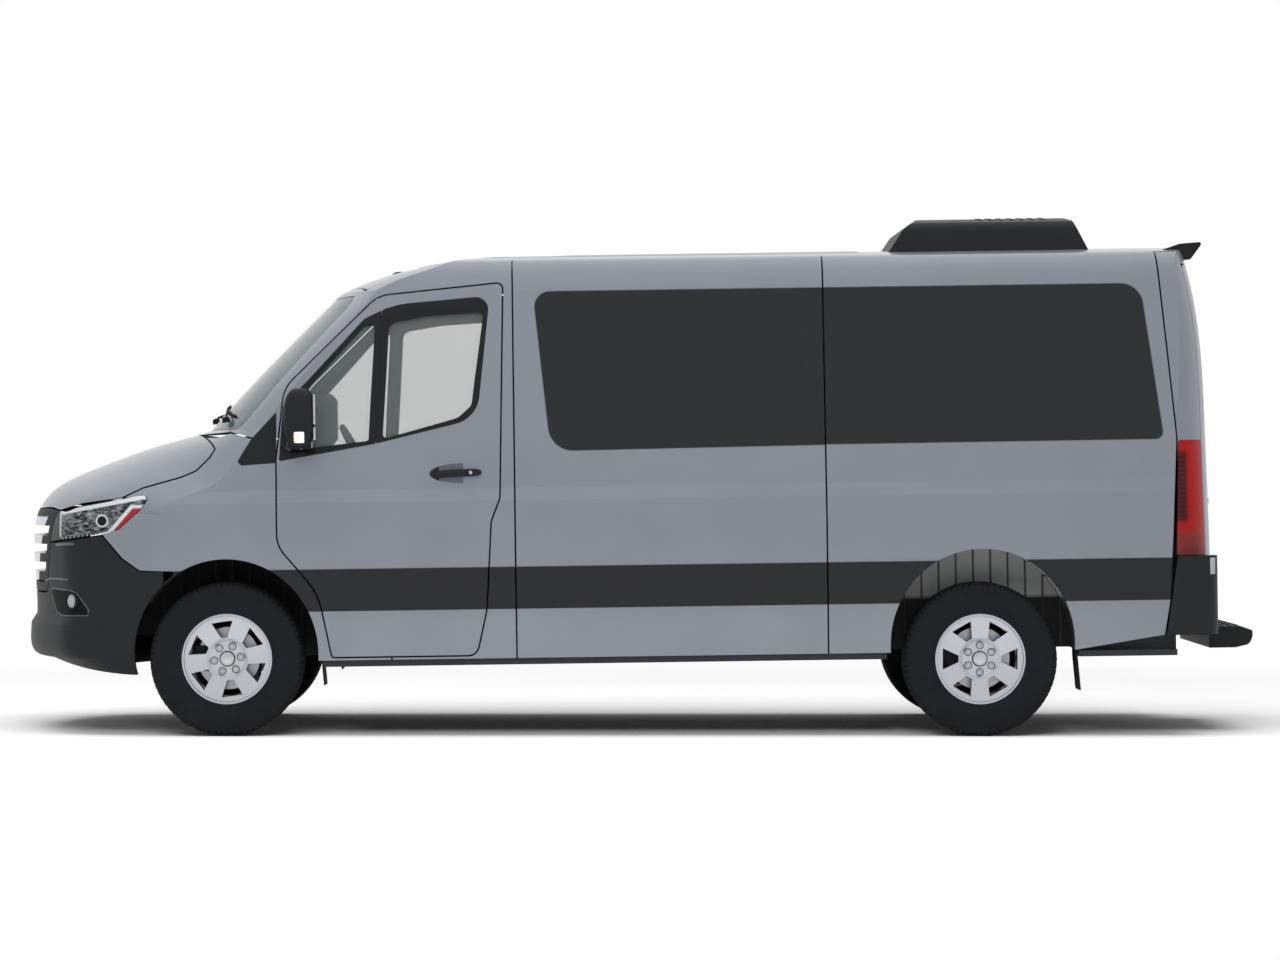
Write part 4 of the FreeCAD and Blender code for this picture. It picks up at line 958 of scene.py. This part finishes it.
def addRadiator():
    # boxes with rounded edges: the core, a tank at each side and flat tubes one over the other
    low, high = np.array(coolerValues["core"])
    out, tube, inset = coolerValues["tubeOut"], coolerValues["tube"], coolerValues["inset"]
    parts = [boxParts(low, high)]
    for edge in (low[1], high[1]):
        parts.append(boxParts((low[0] - coolerValues["tankAhead"], edge - coolerValues["tank"], low[2]),
                              (high[0], edge + coolerValues["tank"], high[2])))
    for level in np.linspace(low[2] + inset, high[2] - inset, coolerValues["tubes"]):
        parts.append(boxParts((low[0] - out, low[1] + inset, level - tube),
                              (low[0] + out, high[1] - inset, level + tube)))
    meshObject("radiator", inBodyParts(joined(parts)), "recess_black")


addRadiator()
print("bumper dressed")


# rear: handle, plate, lamps, sensors and the step's tread

rearValues = {
    "skinBack": 4.8, "skinSide": 0.70, "skinHeights": (0.66, 2.2, 90), "behind": -4, "plate": (0.40, 1.02),
    "tray": (0.185, 0.113), "sheet": (0.155, 0.078), "around": 64, "power": 0.12,
    "trayProfile": [(0, 0.004), (0.92, 0.004), (0.95, 0.012), (1, 0.008), (1, -0.003), (0, -0.003)],
    "sheetProfile": [(0, 0.0075), (0.93, 0.0075), (0.95, 0.0085), (0.99, 0.0080), (1, 0.004), (0, 0.004)],
    "bar": (0.118, 0.17, 0.016), "handle": ((0.035, 0.93), (0.105, 1.13)),
    "highLamp": ((4.752, -0.17, 2.272), (4.773, 0.17, 2.296)), "sensors": (-0.62, -0.22, 0.22, 0.62),
    "sensorHeight": 0.60,
    "sensor": [(-0.01, 0), (-0.01, 0.013), (0.0012, 0.013), (0.0022, 0.011), (0.0015, 0.0085), (0.0018, 0)],
    "studBacks": (4.905, 4.940, 4.975), "studSides": (-0.50, 0.50, 26),
    "stud": [(-0.004, 0), (-0.004, 0.0085), (0.0035, 0.007), (0.0035, 0)], "reflector": (4.792, 0.762),
    "reflectorHalf": (0.016, 0.007, 0.040)}

rearTree = nodeTree("rear_door_left")
rearStarts = inBody(rearValues["skinBack"], rearValues["skinSide"], np.linspace(*rearValues["skinHeights"]))
rearHits = [touch(rearTree, (rearValues["behind"], *start[1:]), (1, 0, 0)) for start in rearStarts]
rearSkin = np.array([(hit[2], hit[0]) for hit in rearHits if hit is not None]).T


def onRear(side, level, proud):
    # places on the rear doors, by side and height in the world
    side, level, proud = np.broadcast_arrays(*[np.asarray(value, float) for value in (side, level, proud)])
    return np.stack([np.interp(level, *rearSkin) - proud, side, level], axis=-1)


def squaredPlate(part):
    # an oval squared to a plate, each profile step a share of its half width and half height
    side, level = rearValues["plate"]
    halfWide, halfTall = rearValues[part]
    turn = fullTurn(rearValues["around"])
    share, out = np.array(rearValues[part + "Profile"]).T
    east, north = [bent(value, rearValues["power"])[:, None] for value in (np.cos(turn), np.sin(turn))]
    points = onRear(side + halfWide * share * east, level + halfTall * share * north, out)
    return points, gridFaces(len(turn), len(out), closeRows=True)


def rearPlate():
    # a plain plate in a shallow black tray with a lamp bar above it, and the doors' handle
    meshObject("plate_tray", squaredPlate("tray"), "black_plastic", "left_rear_door")
    meshObject("plate", squaredPlate("sheet"), "white_lens", "left_rear_door")
    side, level = rearValues["plate"]
    rise, halfWide, halfTall = rearValues["bar"]
    bar = boxParts(onRear(side, level + rise, 0.022) - (0, halfWide, halfTall),
                   onRear(side, level + rise, -0.002) + (0, halfWide, halfTall))
    meshObject("plate_lamp_bar", bar, "gloss_black", "left_rear_door")
    low, high = rearValues["handle"]
    ends = np.array([onRear(*low, 0.03), onRear(*high, 0.002)])
    handle = boxParts(ends.min(axis=0), ends.max(axis=0))
    meshObject("rear_handle", handle, "black_plastic", "left_rear_door")


rearPlate()
# the high brake lamp sits under the spoiler's tail, above the doors
meshObject("high_brake_lamp", bodyBox(*rearValues["highLamp"]), "red_lens")


def rearDetails():
    # turned sensors and studs where lines meet the bumper and the step, and a box for each reflector
    bumper, step = nodeTree("rear_bumper"), nodeTree("rear_step")
    sensors = [touch(bumper, (rearValues["behind"], side, rearValues["sensorHeight"]), (1, 0, 0))
               for side in rearValues["sensors"]]
    studs = [touch(step, (van["frontAxle"] - back, side, 1.0), (0, 0, -1))
             for back in rearValues["studBacks"] for side in np.linspace(*rearValues["studSides"])]
    back, height = rearValues["reflector"]
    for sideName, sign in sides.items():
        place = touch(bumper, inBody(back, van["clear"] * sign, height), (0, -sign, 0))
        half = np.array(rearValues["reflectorHalf"])
        meshObject("rear_reflector_" + sideName, boxParts(place - half, place + half), "fog_lens")
    for name, places, part, way, around, finishName in (
            ("parking_sensors", sensors, "sensor", (-1, 0, 0), 24, "gloss_black"),
            ("step_studs", studs, "stud", (0, 0, 1), 8, "window_seal")):
        parts = [latheParts(rearValues[part], place, way, around) for place in places if place is not None]
        meshObject(name, joined(parts), finishName)


rearDetails()
print("rear dressed")


# right side: the sliding door's rail, a channel with two lips

railValues = {
    "backs": (2.965, 4.50, 60), "height": 1.152, "half": 0.016,
    "section": [(-1, -0.004), (-1, 0.0045), (-0.7, 0.006), (-0.55, 0.001), (0.55, 0.001), (0.7, 0.006),
        (1, 0.0045), (1, -0.004)]}
railPath = onSide(np.linspace(*railValues["backs"]), railValues["height"], 0.0, -1)
railSection = np.array(railValues["section"]) * (railValues["half"], 1)
meshObject("sliding_rail", stripParts(railPath, railSection, (0, -1, 0)), "gloss_black")


# roof unit: louvres at its rear

unitValues = {
    "louvres": 7, "front": 3.72, "pitch": 0.052, "tall": 0.0032, "sides": (-0.34, 0.34, 30), "lift": 0.0005,
    "section": [(-0.012, -0.002), (-0.008, 0.0025), (0.008, 0.0025), (0.012, -0.002)]}


def roofLouvres():
    # a flat section carried across the unit's top at each pitch, held inside the CAD box
    parts = []
    tree = nodeTree("roof_air_conditioner")
    for number in range(unitValues["louvres"]):
        back = unitValues["front"] + number * unitValues["pitch"]
        path = np.array([onTop(tree, back, side) for side in np.linspace(*unitValues["sides"])])
        path[:, 2] = np.minimum(path[:, 2], cadBox[1][2] - unitValues["tall"]) + unitValues["lift"]
        parts.append(stripParts(path, unitValues["section"], (0, 0, 1)))
    meshObject("roof_unit_louvres", joined(parts), "window_seal")


roofLouvres()


# cab: instrument hood, screen, vents and the steering wheel's pad

cabValues = {
    "hood": ((0.30, 0.24, 1.318), (0.53, 0.64, 1.385)),
    "screen": ((0.505, -0.13, 1.235), (0.525, 0.13, 1.375)),
    "console": ((0.40, -0.19, 0.86), (0.585, 0.19, 1.20)), "vents": (-0.74, -0.22, 0.22, 0.74),
    "ventBacks": (0.555, 0.572), "ventHalf": 0.06, "slats": (1.19, 1.27, 6), "slat": 0.008,
    "tilt": math.radians(28), "hub": (0.640, 0.430, 1.330), "padOut": 0.008,
    "pad": [(0, 0), (0, 0.070), (0.012, 0.066), (0.020, 0.050), (0.023, 0.02), (0.024, 0)]}


def dressCab():
    # boxes for hood, console, screen and vent slats, and a pad turned about the steering column's axis
    hood = joined([bodyBox(*cabValues[part]) for part in ("hood", "console")])
    meshObject("instrument_hood", hood, "dark_trim")
    meshObject("centre_screen", bodyBox(*cabValues["screen"]), "gloss_black")
    front, rear = cabValues["ventBacks"]
    half = cabValues["ventHalf"]
    vents = [bodyBox((front, side - half, level), (rear, side + half, level + cabValues["slat"]))
             for side in cabValues["vents"] for level in np.linspace(*cabValues["slats"])]
    meshObject("air_vents", joined(vents), "gloss_black")
    way = np.array([-math.cos(cabValues["tilt"]), 0, math.sin(cabValues["tilt"])])
    place = inBody(*cabValues["hub"]) + way * cabValues["padOut"]
    meshObject("steering_pad", latheParts(cabValues["pad"], place, way, 48), "dark_trim", "steering")


dressCab()
print("cab dressed")


# seats: one cushion, back and head made soft by a cloth run and repeated at every place

seatValues = {
    "voxel": 0.016, "pressure": 4.0, "cap": 0.022, "frames": 20, "crown": 0.22,
    "rows": [(1.600 + 0.765 * row, side) for row in range(4) for side in (0.560, 0.100, -0.360)],
    "fronts": [(0.850, -0.430), (0.850, 0.430)], "lean": 0.130 / 0.640, "leanFrom": 1.080,
    "restBack": 0.390, "cushion": ((0.0, -0.22, 0.961), (0.46, 0.22, 1.082)), "posts": (-0.055, 0.055)}


def crowned(length, width, thick, pinch):
    # a closed pad: a rounded box whose faces crown in the middle and whose edges pull in between corners
    points, faces = boxParts((-length / 2, -width / 2, -thick / 2), (length / 2, width / 2, thick / 2))
    along, across, up = points.reshape(-1, 3).T
    lengthways, sideways = (2 * along / length) ** 2, (2 * across / width) ** 2
    crown = 1 - seatValues["crown"] * (lengthways + sideways) / 2
    return np.stack([along * (1 - pinch * (1 - sideways)), across * (1 - pinch * (1 - lengthways)),
                     up * crown], -1), faces


def softened(points, faces):
    # a voxel copy blown up a little as cloth, with how far a point may move held to a cap
    pad = linked("pad", smoothMesh("pad", points, faces, mixed=True))
    remesh = pad.modifiers.new("remesh", "REMESH")
    remesh.mode = "VOXEL"
    remesh.voxel_size = seatValues["voxel"]
    graph = bpy.context.evaluated_depsgraph_get()
    start = bpy.data.meshes.new_from_object(pad.evaluated_get(graph))
    pad.modifiers.remove(remesh)
    pad.data = start
    before = np.empty(len(start.vertices) * 3)
    start.vertices.foreach_get("co", before)
    after = before.copy()
    cloth = pad.modifiers.new("cloth", "CLOTH")
    cloth.settings.use_pressure = True
    cloth.settings.uniform_pressure_force = seatValues["pressure"]
    cloth.settings.effector_weights.gravity = 0
    scene = bpy.context.scene
    for number in range(1, seatValues["frames"] + 1):
        scene.frame_set(number)
    graph = bpy.context.evaluated_depsgraph_get()
    pad.evaluated_get(graph).to_mesh().vertices.foreach_get("co", after)
    scene.frame_set(1)
    moved = (after - before).reshape(-1, 3)
    length = np.maximum(np.linalg.norm(moved, axis=1, keepdims=True), 1e-9)
    final = before.reshape(-1, 3) + moved * np.minimum(1, seatValues["cap"] / length)
    corners = [list(polygon.vertices) for polygon in start.polygons]
    bpy.data.objects.remove(pad)
    return final, corners


def fitted(points, low, high):
    # scaled to sit in a box
    least, most = points.min(axis=0), points.max(axis=0)
    return (points - least) / (most - least) * (np.asarray(high) - low) + low


padCushion = softened(*crowned(0.44, 0.42, 0.11, 0.03))
# each upright pad with its low and high edge, half width, thickness and how far behind the line it stands
uprights = [(softened(*crowned(0.62, 0.42, 0.10, 0.04)), 1.075, 1.718, 0.22, 0.115, 0.0),
            (softened(*crowned(0.16, 0.25, 0.08, 0.05)), 1.738, 1.896, 0.13, 0.075, 0.008)]


def seatParts(back, side):
    # cushion laid flat, rest and head leaning back, in (back, side, height)
    low, high = np.array(seatValues["cushion"]) + (back, side, 0)
    parts = [(fitted(padCushion[0], low, high), padCushion[1])]
    for (points, faces), low, high, half, thick, out in uprights:
        upright = fitted(points[:, [2, 1, 0]], (0, -half, low), (thick, half, high))
        lean = (upright[:, 2] - seatValues["leanFrom"]) * seatValues["lean"]
        lean = lean + back + seatValues["restBack"] + out
        parts.append((upright + np.stack([lean, np.full_like(lean, side), 0 * lean], -1), faces))
    for step in seatValues["posts"]:
        post = spaced([(back + 0.555, side + step, 1.66), (back + 0.580, side + step, 1.78)], 4)
        parts.append(tubeParts(post, 0.006, 8))
    return parts


def seatObject(name, places, node):
    points, faces = joined([part for place in places for part in seatParts(*place)])
    mesh = smoothMesh(name, inBody(*points.T), faces, mixed=True)
    mesh.materials.append(finishes["seat_cloth"])
    piece = linked(name, mesh)
    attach(piece, "body")
    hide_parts(node)


seatObject("front_seat_pads", seatValues["fronts"], "front_seats")
seatObject("rear_seat_pads", seatValues["rows"], "rear_seats")
print("seats padded")


# stage, light and camera

stageValues = {
    "white": tone(250, 250, 250), "sky": 0.34, "floorSize": 40.0, "fadeFrom": 3.6, "fadeTo": 7.5,
    "overhead": ((0, 1.0, 9.0), (0, 0, 1), (13, 8), 1100.0),
    "near_side": ((2.5, 11.0, 8.0), (0, 0, 1.2), (8, 4), 620.0)}


def addFloor():
    # white paper that takes a soft shadow near the van and fades to plain white further out
    reach = stageValues["floorSize"]
    mesh = bpy.data.meshes.new("studio_floor")
    mesh.from_pydata([(-reach, -reach, 0), (reach, -reach, 0), (reach, reach, 0), (-reach, reach, 0)], [],
                     [(0, 1, 2, 3)])
    finish = Finish("floor_white", Base_Color=stageValues["white"], Roughness=0.9, Specular_IOR_Level=0.0)
    away = finish.vector("LENGTH", finish.object)
    ends = stageValues["fadeFrom"], stageValues["fadeTo"]
    fade = finish.add("ShaderNodeMapRange", (away, *ends, 0.0, 1.0))
    rays = finish.add("ShaderNodeLightPath").outputs
    white = finish.add("ShaderNodeEmission", ((1, 1, 1, 1), 1.0))
    seen = finish.times(fade.outputs[0], finish.either(rays["Is Camera Ray"], rays["Is Glossy Ray"]))
    mix = finish.add("ShaderNodeMixShader", (seen, finish.shader.outputs[0], white.outputs[0]))
    finish.tree.links.new(mix.outputs[0], finish.tree.nodes["Material Output"].inputs["Surface"])
    mesh.materials.append(finish.material)
    floor = linked("studio_floor", mesh)


def addWorld():
    # white to the camera and in reflections, softer where it lights the van
    world = bpy.data.worlds.new("studio")
    bpy.context.scene.world = world
    world.use_nodes = True
    tree = world.node_tree
    rays = addNode(tree, "ShaderNodeLightPath").outputs
    mirror = addNode(tree, "ShaderNodeMath", (rays["Is Glossy Ray"], rays["Is Transmission Ray"]),
                     operation="MAXIMUM")
    seen = addNode(tree, "ShaderNodeMath", (rays["Is Camera Ray"], mirror.outputs[0]), operation="MAXIMUM")
    strength = addNode(tree, "ShaderNodeMapRange", (seen.outputs[0], None, None, stageValues["sky"], 1.0))
    light = tree.nodes["Background"]
    tree.links.new(strength.outputs[0], light.inputs["Strength"])
    light.inputs["Color"].default_value = (1, 1, 1, 1)


def addLamp(name, place, target, size, energy):
    light = bpy.data.lights.new(name, "AREA")
    light.shape = "RECTANGLE"
    light.size, light.size_y = size
    light.energy = energy
    lamp = linked(name, light)
    lamp.location = place
    lamp.rotation_euler = (Vector(target) - Vector(place)).to_track_quat("-Z", "Y").to_euler()
    lamp.visible_glossy = False


cameraValues = {
    "place": (0.2697, 23.48, 1.4016), "sensor_width": 36, "lens": 130.3, "shift_x": 0.0453,
    "shift_y": -0.025, "clip_end": 200}


def addCamera():
    camera = bpy.data.cameras.new("view")
    for setting in ("sensor_width", "lens", "shift_x", "shift_y", "clip_end"):
        setattr(camera, setting, cameraValues[setting])
    holder = linked("view", camera)
    holder.location = cameraValues["place"]
    holder.rotation_euler = (math.pi / 2, 0, math.pi)
    bpy.context.scene.camera = holder


addFloor()
addWorld()
for lampName in ("overhead", "near_side"):
    addLamp(lampName, *stageValues[lampName])
addCamera()
bpy.context.scene.view_settings.view_transform = "Standard"
